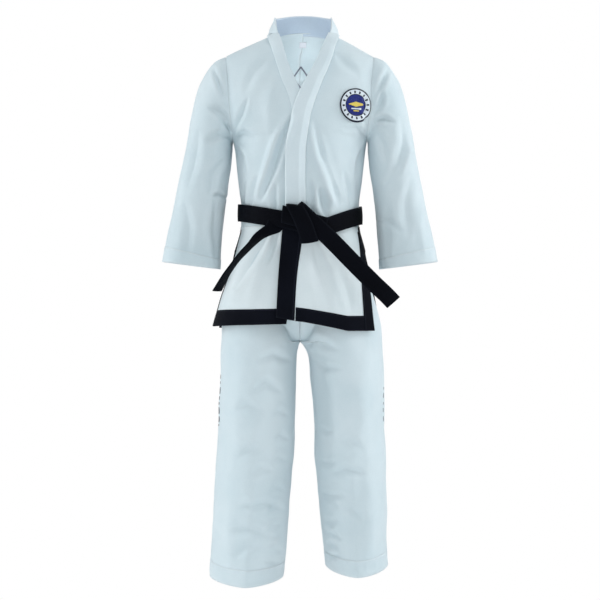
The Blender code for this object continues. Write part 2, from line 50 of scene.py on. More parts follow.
def curve(*keys):
    """A smooth function through (position, value) keys. Outside them the end value holds."""
    keys = sorted(keys)
    at = np.array([k[0] for k in keys], float)
    value = np.array([k[1] for k in keys], float)
    slope = np.empty(len(keys))
    for i in range(len(keys)):
        a, b = max(i - 1, 0), min(i + 1, len(keys) - 1)
        slope[i] = (value[b] - value[a]) / (at[b] - at[a])

    def evaluate(s):
        s = np.clip(np.asarray(s, float), at[0], at[-1])
        i = np.clip(np.searchsorted(at, s, side="right") - 1, 0, len(at) - 2)
        step = at[i + 1] - at[i]
        t = (s - at[i]) / step
        near = (2 * t**3 - 3 * t**2 + 1) * value[i] + (t**3 - 2 * t**2 + t) * step * slope[i]
        far = (3 * t**2 - 2 * t**3) * value[i + 1] + (t**3 - t**2) * step * slope[i + 1]
        return near + far

    return evaluate


def profile(*keys):
    """The curve through pairs of position and value, all in millimetres."""
    return curve(*[(at / 1000, value / 1000) for at, value in zip(keys[::2], keys[1::2])])


def mix(a, b, t):
    return a + (b - a) * t


def smooth(t):
    t = np.clip(t, 0.0, 1.0)
    return t * t * (3 - 2 * t)


def point(x, y, z):
    x, y, z = np.broadcast_arrays(x, y, z)
    return np.stack([x, y, z], axis=-1).astype(float)


def unit(vectors):
    return vectors / np.linalg.norm(vectors, axis=-1, keepdims=True)


def radial(place):
    """Outwards from the body's middle line, level."""
    return np.array([place[0], place[1], 0.0])


def lattice(across, down):
    """Shares across each row and down the rows, as two arrays of one grid."""
    return np.meshgrid(np.linspace(0, 1, across), np.linspace(0, 1, down))


# ---------------------------------------------------------------- body surfaces

LEVEL = np.array([1.0, 1.0, 0.0])  # keeps a vector's level part
BODY_POWER = 2 / 2.3  # roundness of the jacket's sections
SEAT_POWER = 2 / 3.0
SHOULDER = (0.175, -0.048)  # x and z of the left shoulder tip
ARMPIT = (0.160, -0.245)
NECK_Z = -0.002
BACK_RISE = 0.022
BELT_HIDES_Z = -0.4620  # the jacket body ends behind the belt
SKIRT_TOP_Z = -0.4560

JACKET_HALF = profile(
    -705, 216, -620, 190, -535, 161, -470, 142, -440, 139.5, -400, 139.5, -340, 148, -245, 160.5, -225, 180, -195,
    195, -150, 203, -105, 203, -70, 196, -53, 183, -48, 175.5, -24, 129, 0, 80
)
JACKET_FRONT = profile(
    -705, 136, -600, 127, -470, 114.5, -420, 112, -340, 118, -245, 124, -150, 118, -100, 103, -48, 76, -24, 60, 0,
    48
)
JACKET_BACK = profile(
    -705, 134, -600, 124, -470, 110, -420, 107, -340, 112, -245, 118, -150, 116, -100, 108, -48, 88, -24, 76, 20,
    62
)


def signed_power(value, power):
    return np.sign(value) * np.abs(value) ** power


class Tube:
    """A surface by section angle and height: 0 is the front middle, 180 degrees the back."""

    def __init__(self, middle, half, front, back, power=BODY_POWER):
        self.middle, self.half, self.front, self.back, self.power = middle, half, front, back, power

    def __call__(self, angle, z):
        depth = np.where(np.cos(angle) > 0, self.front(z), self.back(z))
        power = self.power(z) if callable(self.power) else self.power
        x = self.half(z) * signed_power(np.sin(angle), power)
        y = -depth * signed_power(np.cos(angle), power)
        return point(self.middle(z) + x, y, z)


def neck_shift(z):
    """The neck opening sits a little towards the wearer's left."""
    return 0.0075 * smooth((np.asarray(z, float) - SHOULDER[1]) / 0.046)


JACKET = Tube(neck_shift, JACKET_HALF, JACKET_FRONT, JACKET_BACK)


def angle_of(x, half):
    """The section angle at which a section of that half width reaches x."""
    return np.sign(x) * np.arcsin(np.clip(np.abs(x) / half, 0, 1) ** (1 / BODY_POWER))


def side_angle(z):
    """The angle of a jacket panel's outer edge: side seam, sleeve seam or shoulder seam."""
    share = (z - ARMPIT[1]) / (SHOULDER[1] - ARMPIT[1])
    seam = angle_of(mix(ARMPIT[0], SHOULDER[0], share), JACKET_HALF(z))
    return np.where((share > 0) & (share < 1), seam, math.pi / 2)


def lifted(surface, angle, z, lift):
    """A point of the surface moved out along the surface's normal."""
    step = 0.0005
    here = surface(angle, z)
    round_it = surface(angle + step, z) - surface(angle - step, z)
    up_it = surface(angle, z + step) - surface(angle, z - step)
    normal = np.cross(round_it, up_it)
    normal /= np.maximum(np.linalg.norm(normal, axis=-1, keepdims=True), 1e-12)
    away = here * LEVEL
    away[..., 0] -= surface.middle(z)
    flip = np.sum(normal * away, axis=-1, keepdims=True) < 0
    return here + np.where(flip, -normal, normal) * np.asarray(lift)[..., None]


def on_front(x, z, lift=0.0):
    """The point of the jacket's front at x and z."""
    x, z, lift = np.broadcast_arrays(np.asarray(x, float), z, lift)
    return lifted(JACKET, angle_of(x - neck_shift(z), JACKET_HALF(z)), z, lift)


# ---------------------------------------------------------------- folds

# A fold's numbers are its half width, its height, then the x and z of each point of its course,
# all in millimetres. A crease sinks in, a ridge stands out, and a lap is high on its left side
# and low on its right side, seen along its course with the front of the garment facing.
FOLD_SCALE = 1.6


def fold(kind, width, depth, course):
    places = tuple((x / 1000, z / 1000) for x, z in zip(course[::2], course[1::2]))
    return places, width / 1000, depth / 1000, kind


def crease(width, depth, *course):
    return fold("crease", width, depth, course)


def ridge(width, depth, *course):
    return fold("ridge", width, depth, course)


def lap(width, depth, *course):
    return fold("lap", width, depth, course)


def fold_height(x, z, course, width, depth, kind):
    """The height a fold adds at x and z. All lengths are in metres."""
    course = np.array(course, float)
    starts, ends = course[:-1], course[1:]
    spans = ends - starts
    lengths = np.linalg.norm(spans, axis=1)
    before = np.concatenate([[0.0], np.cumsum(lengths)])
    best = np.full(x.shape, 1e9)
    side = np.zeros(x.shape)
    along = np.zeros(x.shape)
    for start, span, length, base in zip(starts, spans, lengths, before):
        dx, dz = x - start[0], z - start[1]
        t = np.clip((dx * span[0] + dz * span[1]) / length**2, 0, 1)
        gap = np.hypot(dx - t * span[0], dz - t * span[1])
        nearer = gap < best
        best = np.where(nearer, gap, best)
        side = np.where(nearer, np.sign(span[0] * dz - span[1] * dx), side)
        along = np.where(nearer, (base + t * length) / before[-1], along)
    taper = np.sin(np.pi * np.clip(along * 0.94 + 0.03, 0, 1)) ** 0.6
    s = best / (width * 0.9 * (0.45 + 0.55 * taper))
    if kind == "crease":
        shape = -np.exp(-1.25 * s**1.35) + 0.42 * np.exp(-1.4 * (s - 1.5) ** 2)
    elif kind == "ridge":
        shape = np.exp(-1.2 * s**1.5) - 0.25 * np.exp(-((s - 1.7) ** 2))
    else:
        shape = side * s * np.exp(-(s**2) * 0.9) * 1.6
    return FOLD_SCALE * depth * taper * shape


def waves(x, z, size, seed, height):
    """Low seeded undulation of the cloth."""
    result = np.empty(x.size)
    flat = np.stack([x.ravel(), z.ravel()], axis=1) / size
    for i, (a, b) in enumerate(flat):
        result[i] = noise.noise(Vector((a * 1.25, b * 0.8, seed)))
    return result.reshape(x.shape) * height


def normals_of(points):
    down = np.gradient(points, axis=0)
    across = np.gradient(points, axis=1)
    normal = np.cross(across, down)
    normal /= np.maximum(np.linalg.norm(normal, axis=-1, keepdims=True), 1e-12)
    return normal


def outward_normals(points, middle):
    normal = normals_of(points)
    away = points - middle
    away[..., 2] = 0
    flip = np.sum(normal * away, axis=-1, keepdims=True).sum() < 0
    return -normal if flip else normal


def crumple(points, middle, front=(), back=(), seed=0.0, swell=0.0025, hold=None, where=None):
    """The points with folds and slight waves added along their normals.

    where gives the place used for the folds when it isn't the points' own x and z, so that
    two layers can share one set. hold, from 0 to 1, keeps chosen points where they are."""
    normal = outward_normals(points, middle)
    place = points if where is None else where
    x, y, z = place[..., 0], place[..., 1], place[..., 2]
    facing = smooth(0.5 - normal[..., 1] * 1.4)
    height = waves(x + 3.1 * (y > 0), z, 0.085, seed, swell)
    height = height + waves(x, z + 0.3 * y, 0.03, seed + 7, swell * 0.22)
    for mask, folds in ((facing, front), (1 - facing, back)):
        for course, width, depth, kind in folds:
            height = height + mask * fold_height(x, z, course, width, depth, kind)
    if hold is not None:
        height = height * (1 - hold)
    return points + normal * height[..., None]


# ---------------------------------------------------------------- materials


def links(tree, *pairs):
    for source, target in pairs:
        tree.links.new(source, target)


def node(tree, kind, inputs=None, **values):
    """A new node with its settings and the values of its inputs."""
    made = tree.nodes.new(kind)
    for key, value in values.items():
        setattr(made, key, value)
    for key, value in (inputs or {}).items():
        made.inputs[key].default_value = value
    return made


def color_ramp(tree, *stops):
    """A ramp between two (position, colour) stops."""
    made = tree.nodes.new("ShaderNodeValToRGB")
    for element, (position, color) in zip(made.color_ramp.elements, stops):
        element.position = position
        element.color = (*color, 1)
    return made


WAVE_PITCH = 0.314  # a wave texture's scale times the length of one wave
GLOSS_VARIES = 0.06


def fabric(name, dark, light, roughness, sheen, thread, bump, ribs=0.0, wear_and_highlight=None, gloss=0.25):
    """Woven cloth. thread is the weave's pitch in metres, and ribs the pitch of rows of
    stitching along a strap. dark and light are the ends of its colour variation. Edges and
    crests turn to a lighter colour: a painted highlight on the white cloths and the collar
    inside, rubbed wear on the black trim and webbing."""
    look = bpy.data.materials.new(name)
    look.use_nodes = True
    tree = look.node_tree
    shader = tree.nodes["Principled BSDF"]
    for key, value in (("Roughness", roughness), ("Sheen Weight", sheen), ("Sheen Roughness", 0.5),
                       ("Specular IOR Level", gloss)):
        shader.inputs[key].default_value = value
    place = node(tree, "ShaderNodeTexCoord")
    # broad blotches, as the cloth takes creases and handling, and fine flecks
    broad = node(tree, "ShaderNodeTexNoise", {"Scale": 9.0, "Detail": 4.0})
    fleck = node(tree, "ShaderNodeTexNoise", {"Scale": 420.0, "Detail": 2.0})
    blend = node(tree, "ShaderNodeMath", {1: 0.35}, operation="MULTIPLY_ADD")
    ramp = color_ramp(tree, (0.40, dark), (0.80, light))
    links(tree, (place.outputs["Object"], broad.inputs["Vector"]),
          (place.outputs["Object"], fleck.inputs["Vector"]),
          (fleck.outputs["Fac"], blend.inputs[0]), (broad.outputs["Fac"], blend.inputs[2]),
          (blend.outputs[0], ramp.inputs["Fac"]))
    color = ramp.outputs["Color"]
    # edges and crests turn lighter by pointiness: a painted highlight on the white cloths, rubbed wear on the black
    # ones
    if wear_and_highlight:
        geometry = node(tree, "ShaderNodeNewGeometry")
        edge = color_ramp(tree, (0.52, (0, 0, 0)), (0.62, (1, 1, 1)))
        crest_mix = node(tree, "ShaderNodeMix", {"B": (*wear_and_highlight, 1)}, data_type="RGBA")
        links(tree, (geometry.outputs["Pointiness"], edge.inputs["Fac"]),
              (edge.outputs["Color"], crest_mix.inputs["Factor"]), (color, crest_mix.inputs["A"]))
        color = crest_mix.outputs["Result"]
    tree.links.new(color, shader.inputs["Base Color"])
    # the weave: warp and weft threads crossing over
    weave = node(tree, "ShaderNodeMath", operation="MAXIMUM")
    for index, axis in enumerate(("X", "Y")):
        wave = node(tree, "ShaderNodeTexWave", {"Scale": WAVE_PITCH / thread, "Distortion": 0.6, "Detail": 1.0},
                    wave_type="BANDS", bands_direction=axis, wave_profile="SIN")
        links(tree, (place.outputs["UV"], wave.inputs["Vector"]), (wave.outputs["Fac"], weave.inputs[index]))
    fine = node(tree, "ShaderNodeBump", {"Strength": bump, "Distance": thread * 0.5})
    tree.links.new(weave.outputs[0], fine.inputs["Height"])
    normal = fine.outputs["Normal"]
    if ribs:
        rows = node(tree, "ShaderNodeTexWave", {"Scale": WAVE_PITCH / ribs / 2},
                    wave_type="BANDS", bands_direction="Y", wave_profile="SAW")
        deep = node(tree, "ShaderNodeBump", {"Strength": 0.9, "Distance": 0.0006})
        links(tree, (place.outputs["UV"], rows.inputs["Vector"]), (rows.outputs["Fac"], deep.inputs["Height"]),
              (normal, deep.inputs["Normal"]))
        normal = deep.outputs["Normal"]
    # wrinkles too small to model
    crinkle = node(tree, "ShaderNodeTexNoise", {"Scale": 46.0, "Detail": 5.0})
    soft = node(tree, "ShaderNodeBump", {"Strength": 0.22, "Distance": 0.004})
    links(tree, (place.outputs["Object"], crinkle.inputs["Vector"]), (crinkle.outputs["Fac"], soft.inputs["Height"]),
          (normal, soft.inputs["Normal"]), (soft.outputs["Normal"], shader.inputs["Normal"]))
    # threads differ a little in gloss
    vary = node(tree, "ShaderNodeMapRange", {"To Min": roughness - GLOSS_VARIES,
                                             "To Max": min(1.0, roughness + GLOSS_VARIES)})
    links(tree, (broad.outputs["Fac"], vary.inputs["Value"]), (vary.outputs["Result"], shader.inputs["Roughness"]))
    return look


# the colour given for edges and crests is a painted highlight on the white cloths and the collar inside, and wear on
# the black trim and webbing
WHITE = fabric("white_cotton", (0.590, 0.715, 0.765), (0.665, 0.775, 0.820), 0.82, 0.25, 0.0011, 0.5,
               wear_and_highlight=(0.74, 0.83, 0.87))
# the white cotton made lighter for the skirt flaps: painted light
LIT_SKIRT_COTTON = fabric("skirt_cotton_painted_light", (0.675, 0.780, 0.815), (0.750, 0.840, 0.870), 0.80, 0.25, 0.0011, 0.5,
               wear_and_highlight=(0.80, 0.87, 0.90))
BLACK = fabric("black_trim", (0.0016, 0.0022, 0.0048), (0.0046, 0.0058, 0.0110), 0.85, 0.015, 0.0010, 0.6,
               wear_and_highlight=(0.008, 0.010, 0.016), gloss=0.06)
BELT = fabric("black_satin_webbing", (0.0008, 0.0012, 0.0026), (0.0022, 0.0028, 0.0056), 0.72, 0.0, 0.0009, 0.4,
              ribs=0.0048, wear_and_highlight=(0.006, 0.008, 0.013), gloss=0.05)
TAPE = fabric("grey_tape", (0.16, 0.18, 0.23), (0.30, 0.33, 0.40), 0.85, 0.2, 0.0014, 0.8)
THREAD = fabric("white_thread", (0.60, 0.69, 0.75), (0.72, 0.80, 0.86), 0.7, 0.2, 0.0006, 0.6)
INK = fabric("dark_thread", (0.006, 0.008, 0.018), (0.018, 0.021, 0.040), 0.7, 0.03, 0.0006, 0.6)
BLUE = fabric("blue_thread", (0.003, 0.009, 0.120), (0.008, 0.022, 0.215), 0.55, 0.08, 0.0007, 0.9)
GOLD = fabric("gold_thread", (0.62, 0.46, 0.05), (0.85, 0.68, 0.13), 0.5, 0.2, 0.0007, 0.9)
LABEL = fabric("label_weave", (0.62, 0.66, 0.72), (0.74, 0.78, 0.84), 0.6, 0.2, 0.0007, 0.5)
# the collar's inner side, darker and bluer than its white outer side: painted shade
SHADED_COLLAR_INSIDE = fabric("collar_inside_painted_shade", (0.440, 0.545, 0.670), (0.520, 0.630, 0.745), 0.8, 0.2, 0.0011, 0.5,
                wear_and_highlight=(0.74, 0.83, 0.92))
COLLAR = fabric("stitched_collar", (0.630, 0.750, 0.800), (0.705, 0.810, 0.855), 0.8, 0.25, 0.0011, 0.5,
                wear_and_highlight=(0.74, 0.83, 0.87))

# ---------------------------------------------------------------- meshes

# thicknesses
CLOTH = 0.0014
HEM_FOLD = 0.0030
BAND = 0.0028
COLLAR_STAND = 0.0030
TRIM = 0.0034
THIN_TAPE = 0.0009
SHEETS = []


def in_scene(name, data):
    obj = bpy.data.objects.new(name, data)
    bpy.context.scene.collection.objects.link(obj)
    return obj


def grid_mesh(name, points, look, thick=CLOTH, closed=False, offset=-1.0, looks=None, face_look=None):
    """A cloth piece from a grid of points, with its length and width in metres as UVs.

    closed joins each row's ends. face_look gives each face's material number by row and column.
    Without it, looks are the materials of the cloth's two sides."""
    rows, across = points.shape[:2]
    step_u = np.linalg.norm(np.diff(points, axis=1), axis=2)
    step_v = np.linalg.norm(np.diff(points, axis=0), axis=2)
    u = np.concatenate([np.zeros((rows, 1)), np.cumsum(step_u, axis=1)], axis=1)
    u = np.broadcast_to(u.mean(axis=0), (rows, across))
    v = np.concatenate([np.zeros((1, across)), np.cumsum(step_v, axis=0)], axis=0)
    count = across - 1 if closed else across
    verts = points[:, :count].reshape(-1, 3)
    faces, corners, numbers = [], [], []
    for i in range(rows - 1):
        for j in range(across - 1):
            k = (j + 1) % count if closed else j + 1
            faces.append((i * count + j, i * count + k, (i + 1) * count + k, (i + 1) * count + j))
            corners += [(u[i, j], v[i, j]), (u[i, j + 1], v[i, j + 1]), (u[i + 1, j + 1], v[i + 1, j + 1]),
                        (u[i + 1, j], v[i + 1, j])]
            numbers.append(face_look(i, j) if face_look else 0)
    data = bpy.data.meshes.new(name)
    data.from_pydata(verts.tolist(), [], faces)
    layer = data.uv_layers.new(name="cloth")
    layer.data.foreach_set("uv", np.array(corners, np.float32).ravel())
    data.polygons.foreach_set("material_index", np.array(numbers, np.int32))
    for each in looks or [look]:
        data.materials.append(each)
    data.shade_smooth()
    obj = in_scene(name, data)
    if thick:
        solid = obj.modifiers.new("Thickness", "SOLIDIFY")
        solid.thickness = thick
        solid.offset = offset
        solid.use_even_offset = False
        if looks and not face_look:
            solid.material_offset = 1
        bake(obj)
    return obj


def bake(obj):
    """Apply every modifier to the mesh."""
    bpy.context.view_layer.update()
    depsgraph = bpy.context.evaluated_depsgraph_get()
    mesh = bpy.data.meshes.new_from_object(obj.evaluated_get(depsgraph))
    obj.modifiers.clear()
    old = obj.data
    obj.data = mesh
    bpy.data.meshes.remove(old)
    return obj


def flat_size(points):
    """Mean width and length of a grid of points and the area of its cells."""
    width = np.linalg.norm(np.diff(points, axis=1), axis=2).sum(axis=1).mean()
    length = np.linalg.norm(np.diff(points, axis=0), axis=2).sum(axis=0).mean()
    one = np.cross(points[1:, 1:] - points[:-1, :-1], points[1:, :-1] - points[:-1, 1:])
    return width, length, np.linalg.norm(one, axis=-1).sum() / 2


def cloth(name, points, look, held, rests_on=(), flat=None, with_pieces=(), **options):
    """A sheet of cloth, listed in SHEETS with its size. flat is its uncrumpled grid, whose size it was cut to."""
    obj = grid_mesh(name, points, look, **options)
    width, length, area = flat_size(points if flat is None else flat)
    SHEETS.append((obj, (width, length), area, held, rests_on, list(with_pieces)))
    return obj


def finish_piece(obj, nodes, body=None, blend=None):
    """Hides the nodes a piece replaces and parents it to its body's empty. A piece with a blend, (body, body, start,
    end), only has its transform baked in.
    """
    if nodes:
        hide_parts(*nodes)
    if blend:
        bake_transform(obj)
    else:
        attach(obj, body)
    return obj


STITCH = 0.0032
STITCH_GAP = 0.0014
STITCH_WIDTH = 0.0007


def stitches(name, path, normal_of, look):
    """A row of thread stitches along a path of points, as one mesh of short raised bars."""
    width = STITCH_WIDTH
    spans = np.linalg.norm(np.diff(path, axis=0), axis=1)
    total = np.concatenate([[0.0], np.cumsum(spans)])
    verts, faces = [], []
    at = 0.0
    while at + STITCH < total[-1]:
        ends = [np.array([np.interp(s, total, path[:, k]) for k in range(3)]) for s in (at, at + STITCH)]
        middle = (ends[0] + ends[1]) / 2
        out = unit(normal_of(middle))
        run = ends[1] - ends[0]
        side = np.cross(run, out)
        side *= width / 2 / max(np.linalg.norm(side), 1e-9)
        base = len(verts)
        for place, rise in ((ends[0], 0.0), (middle, width * 0.8), (ends[1], 0.0)):
            for across in (-1, 0, 1):
                top = rise + (width * 0.35 if across == 0 else -width * 0.2)
                verts.append(tuple(place + side * across + out * top))
        for row in range(2):
            for col in range(2):
                a = base + row * 3 + col
                faces.append((a, a + 1, a + 4, a + 3))
        at += STITCH + STITCH_GAP
    data = bpy.data.meshes.new(name)
    data.from_pydata(verts, [], faces)
    data.materials.append(look)
    data.shade_smooth()
    return in_scene(name, data)


# ---------------------------------------------------------------- jacket body

MIDDLE = np.array([0.0, 0.0, 0.0])
LEFT_ARM = ("jacket", "left_sleeve", (0.1555, 0, 0), (0.1700, 0, 0))
RIGHT_ARM = ("jacket", "right_sleeve", (-0.1555, 0, 0), (-0.1700, 0, 0))

# the fronts' crossing edges: x at each height
LEFT_PANEL_EDGE = profile(-470, 2, -270, 2, -224, 9, -186, 16, -130, 40, -74, 64, -40, 75, -2, 89.5)
RIGHT_PANEL_EDGE = profile(-470, 2, -270, 2, -211, 7, -165, 3, -115.7, -32, -60, -53, -28, -65, -2, -74.5)

CHEST_FOLDS = (
    # the wrap pulls from the breast down towards the knot on both sides
    crease(11, 8.8, -20, -205, -44, -262, -66, -330, -90, -392),
    ridge(11, 3.5, -52, -235, -70, -300, -98, -380),
    lap(15, -6.2, 30, -225, 46, -290, 70, -350, 84, -400),
    ridge(10, 4.2, 46, -240, 66, -310, 98, -390),
    crease(12, 7.5, 48, -372, 56, -402, 60, -430),
    crease(9, 4, 22, -350, 28, -400, 28, -430),
    crease(8, 4, -100, -340, -112, -372, -116, -410),
    crease(6, 3, -128, -350, -134, -380, -134, -412),
    crease(8, 3.6, 104, -330, 116, -372, 120, -412),
    crease(8, 4, -58, -356, -60, -390, -56, -424),
    # armpit pulls
    crease(8, 3.6, -158, -236, -136, -196, -122, -160),
    crease(8.5, 3.2, -156, -246, -130, -236, -104, -246),
    crease(9, 3.4, 157, -240, 132, -226, 104, -232),
    crease(7, 2.6, 158, -230, 150, -190, 150, -150),
    lap(9, 3.4, -150, -262, -130, -290, -122, -330),
    lap(9, -3.4, 150, -262, 132, -300, 128, -340),
    # below the shoulders
    crease(14, 2.6, -72, -60, -108, -96, -128, -142),
    crease(14, 2.2, 86, -50, 112, -78, 134, -96),
    ridge(16, 2, -60, -120, -74, -180, -72, -240),
)
BACK_FOLDS = (
    crease(12, 4.5, -140, -230, -100, -190, -60, -170),
    crease(12, 4.2, 140, -235, 96, -205, 55, -192),
    crease(13, 5, -120, -250, -80, -300, -66, -400),
    crease(13, 5, 118, -260, 84, -320, 78, -405),
    crease(11, 5, -30, -300, -28, -360, -34, -420),
    crease(11, 4.5, 26, -290, 34, -350, 30, -420),
    crease(13, 2.5, -90, -60, 0, -90, 90, -62),
    crease(9, 4, -105, -340, -112, -380, -108, -420),
    crease(9, 4, 108, -345, 112, -380, 112, -420),
)


def body_rows():
    low = np.linspace(BELT_HIDES_Z, ARMPIT[1], 46)
    high = np.linspace(ARMPIT[1], SHOULDER[1], 44)[1:]
    return np.concatenate([low, high])


def armhole_hold(points):
    """1 at the sleeve seam and 0 away from it, so that both sides of the seam stay together."""
    share = np.clip((points[..., 2] - ARMPIT[1]) / (SHOULDER[1] - ARMPIT[1]), 0, 1)
    seam = mix(ARMPIT[0], SHOULDER[0], share)
    hold = 1 - smooth((seam - np.abs(points[..., 0])) / 0.016)
    low = smooth((points[..., 2] - ARMPIT[1] + 0.05) / 0.05)
    return np.where(points[..., 2] > SHOULDER[1], smooth((points[..., 2] - SHOULDER[1] + 0.004) / 0.01), hold * low)


def front_panel(side, edge, name, node_name, motion):
    rows = np.concatenate([body_rows(), np.linspace(SHOULDER[1], NECK_Z, 20)[1:]])
    share, z = np.meshgrid(np.linspace(0, 1, 64), rows)
    inner = angle_of(edge(z) - neck_shift(z), JACKET_HALF(z))
    base = JACKET(mix(inner, side * side_angle(z), share), z)
    points = crumple(base, MIDDLE, CHEST_FOLDS, hold=armhole_hold(base), seed=2.0)
    piece = cloth(name, points, WHITE, "hung", rests_on=["collar_back"], flat=base)
    return finish_piece(piece, [node_name], blend=motion)


def back_half(side, name, motion):
    rows = body_rows()
    share, z = np.meshgrid(np.linspace(0, 1, 60), rows)
    base = JACKET(math.pi - side * side_angle(z) * share, z)
    rise, top_share = np.meshgrid(np.linspace(0, 1, 60), np.linspace(0, 1, 20)[1:])
    side_z = mix(SHOULDER[1], NECK_Z, top_share)
    angle = math.pi - side * side_angle(side_z) * rise
    top = JACKET(angle, side_z + BACK_RISE * top_share * np.cos(angle) ** 2)
    base = np.concatenate([base, top])
    points = crumple(base, MIDDLE, back=BACK_FOLDS, hold=armhole_hold(base), seed=4.0)
    piece = cloth(name, points, WHITE, "hung", rests_on=["collar_back"], flat=base)
    return finish_piece(piece, ["jacket_back_panel"], blend=motion)


# Each band from the belt up, in millimetres: seam x, seam z, edge x, edge z, lift at the seam,
# lift at the edge. The last number is the share of the chest's depth.
LEFT_BAND = (
    (11.6, -462, -32.6, -462, 3, 7, 1),
    (11.6, -401, -32.6, -401, 3, 7.4, 1),
    (11.6, -330, -32.6, -330, 3, 8.6, 1),
    (11.8, -290, -32, -288, 3, 8.8, 1),
    (13.5, -260, -28.5, -256, 3, 8.8, 1),
    (18.6, -224, -22, -217, 3, 8.8, 1),
    (26.2, -186, -13, -176, 3.2, 8.4, 1),
    (46.7, -130, 4, -135, 3.4, 7.6, 1),
    (70, -74.3, 37, -72, 3.6, 6, 1),
    (80, -40, 57, -24, 4.4, 6, 1),
    (89.5, -8, 70, 12, 5.6, 4, 1),
    (93.5, 4, 74.5, 44, 0, 0, 0),
)
RIGHT_BAND = (
    (-29, -462, 0, -462, 2.6, 3, 1),
    (-29, -300, 0, -300, 2.6, 3, 1),
    (-24, -250, 1, -250, 2.6, 3, 1),
    (-18, -208, 8, -208, 2.6, 3, 1),
    (-23.3, -163, 10, -166, 2.8, 3, 1),
    (-42, -115.7, -4, -129, 3.4, 3, 1),
    (-60, -60, -30, -70, 3.6, 4, 1),
    (-70, -28, -44, -14, 4.6, 6, 1),
    (-76.5, -4, -54, 18, 5.6, 4, 1),
    (-78.5, 4, -59.5, 46, 0, 0, 0),
)


def band_grid(stations):
    stations = np.array(stations) / (*[1000] * 6, 1)
    rails = [curve(*zip(stations[:, 1], column)) for column in stations.T]
    seam_z = np.concatenate([np.linspace(stations[0][1], -0.03, 90), np.linspace(-0.03, stations[-1][1], 26)[1:]])
    share, seam_z = np.meshgrid(np.linspace(0, 1, 22), seam_z)
    seam_x, _, edge_x, edge_z, seam_lift, edge_lift, depth = [rail(seam_z) for rail in rails]
    x, z = mix(seam_x, edge_x, share), mix(seam_z, edge_z, share)
    base = on_front(x, z)
    # a padded band: it rises from its seam and rounds over at its free edge
    crown = 0.0016 * np.sin(np.pi * share) ** 0.5
    lift = mix(seam_lift, edge_lift, np.minimum(1.0, share * 3)) + crown
    points = on_front(x, z, lift)
    for each in (base, points):
        each[..., 1] *= depth
    return base, points


def front_band(name, stations, node_name):
    base, flat = band_grid(stations)
    hold = smooth((base[..., 2] + 0.05) / 0.04)
    points = crumple(flat, MIDDLE, CHEST_FOLDS, hold=hold, seed=2.0, where=base)
    piece = cloth(name, points, COLLAR, "folded", rests_on=["collar_back"], flat=flat, thick=BAND)
    finish_piece(piece, [node_name], body="jacket")


COLLAR_REACH = math.pi / 2 + 0.05  # its ends pass inside the tops of the front bands


def back_collar():
    """The collar behind the neck, a stiff stitched stand."""
    share, turn = np.meshgrid(np.linspace(0, 1, 14), np.linspace(-COLLAR_REACH, COLLAR_REACH, 78), indexing="ij")
    half, depth = mix(0.0862, 0.0670, share), mix(0.0655, 0.0520, share)
    x = half * signed_power(np.sin(turn), BODY_POWER)
    y = depth * signed_power(np.cos(turn), BODY_POWER)
    rise = np.cos(turn) ** 2 * mix(0.022, 0.013, share)
    points = point(0.0075 - x, y, -0.0100 + 0.057 * share + rise)
    points[..., 1] += 0.0010 * np.sin(np.pi * share)
    # the stand's inner side takes the darker, bluer collar-inside colour: painted shade
    piece = cloth("collar_back_cloth", points, None, "folded", rests_on=["jacket_back_panel"],
                  thick=COLLAR_STAND, offset=0.0, looks=[COLLAR, SHADED_COLLAR_INSIDE])
    finish_piece(piece, ["collar_back"], body="jacket")


# ---------------------------------------------------------------- sleeves

# outer x and z, inner x and z, and half depth of each ring, in millimetres
SLEEVE_RINGS = (
    (205, -64, 163.5, -252, 76),
    (240, -115, 164.5, -276, 76),
    (258, -187, 167.5, -312, 72),
    (269, -252, 174, -356, 67),
    (289, -345, 183, -426, 62),
    (308.5, -440, 189, -493, 57),
    (328, -539, 194, -556, 52),
)
# Folds as the wearer's left sleeve has them, in front and behind
LEFT_SLEEVE_FOLDS = (
    crease(8, 5, 176, -208, 200, -204, 222, -212),
    crease(15, 4.4, 240, -206, 246, -258, 234, -312, 204, -352),
    ridge(9, 3.8, 252, -236, 256, -280, 240, -330),
    crease(9, 4.8, 208, -86, 196, -112, 182, -142),
    crease(8, 4, 180, -186, 190, -170, 194, -140),
    crease(11, 2.6, 180, -236, 196, -262, 204, -300),
    lap(15, 2, 214, -400, 218, -450, 216, -520),
    crease(14, 2.8, 262, -340, 250, -400, 256, -480),
    ridge(12, 2.4, 290, -390, 284, -450, 294, -520),
    crease(10, 2.6, 186, -440, 216, -446, 240, -470),
)
RIGHT_SLEEVE_FOLDS = (
    crease(8, 4.6, 158, -214, 186, -186, 216, -176),
    crease(7, 4.2, 160, -230, 180, -208, 196, -190),
    crease(9, 4.2, 164, -246, 190, -240, 220, -256),
    crease(8, 4.4, 206, -80, 192, -112, 180, -150),
    crease(7, 4, 176, -386, 192, -380, 206, -384),
    crease(11, 4, 180, -300, 206, -330, 214, -380),
    crease(14, 3.4, 238, -230, 246, -290, 262, -360),
    lap(12, 3.4, 206, -400, 212, -460, 206, -530),
    crease(14, 2.6, 270, -400, 262, -460, 270, -530),
)
SLEEVE_BACK_FOLDS = (
    crease(10, 5, 176, -230, 204, -216, 236, -236),
    crease(11, 4, 180, -160, 210, -150, 236, -170),
    crease(11, 5, 190, -330, 224, -318, 256, -336),
    crease(12, 4, 200, -380, 230, -372, 270, -392),
    crease(14, 3.4, 230, -420, 236, -480, 232, -540),
    crease(9, 3.6, 206, -90, 196, -130, 186, -190),
)


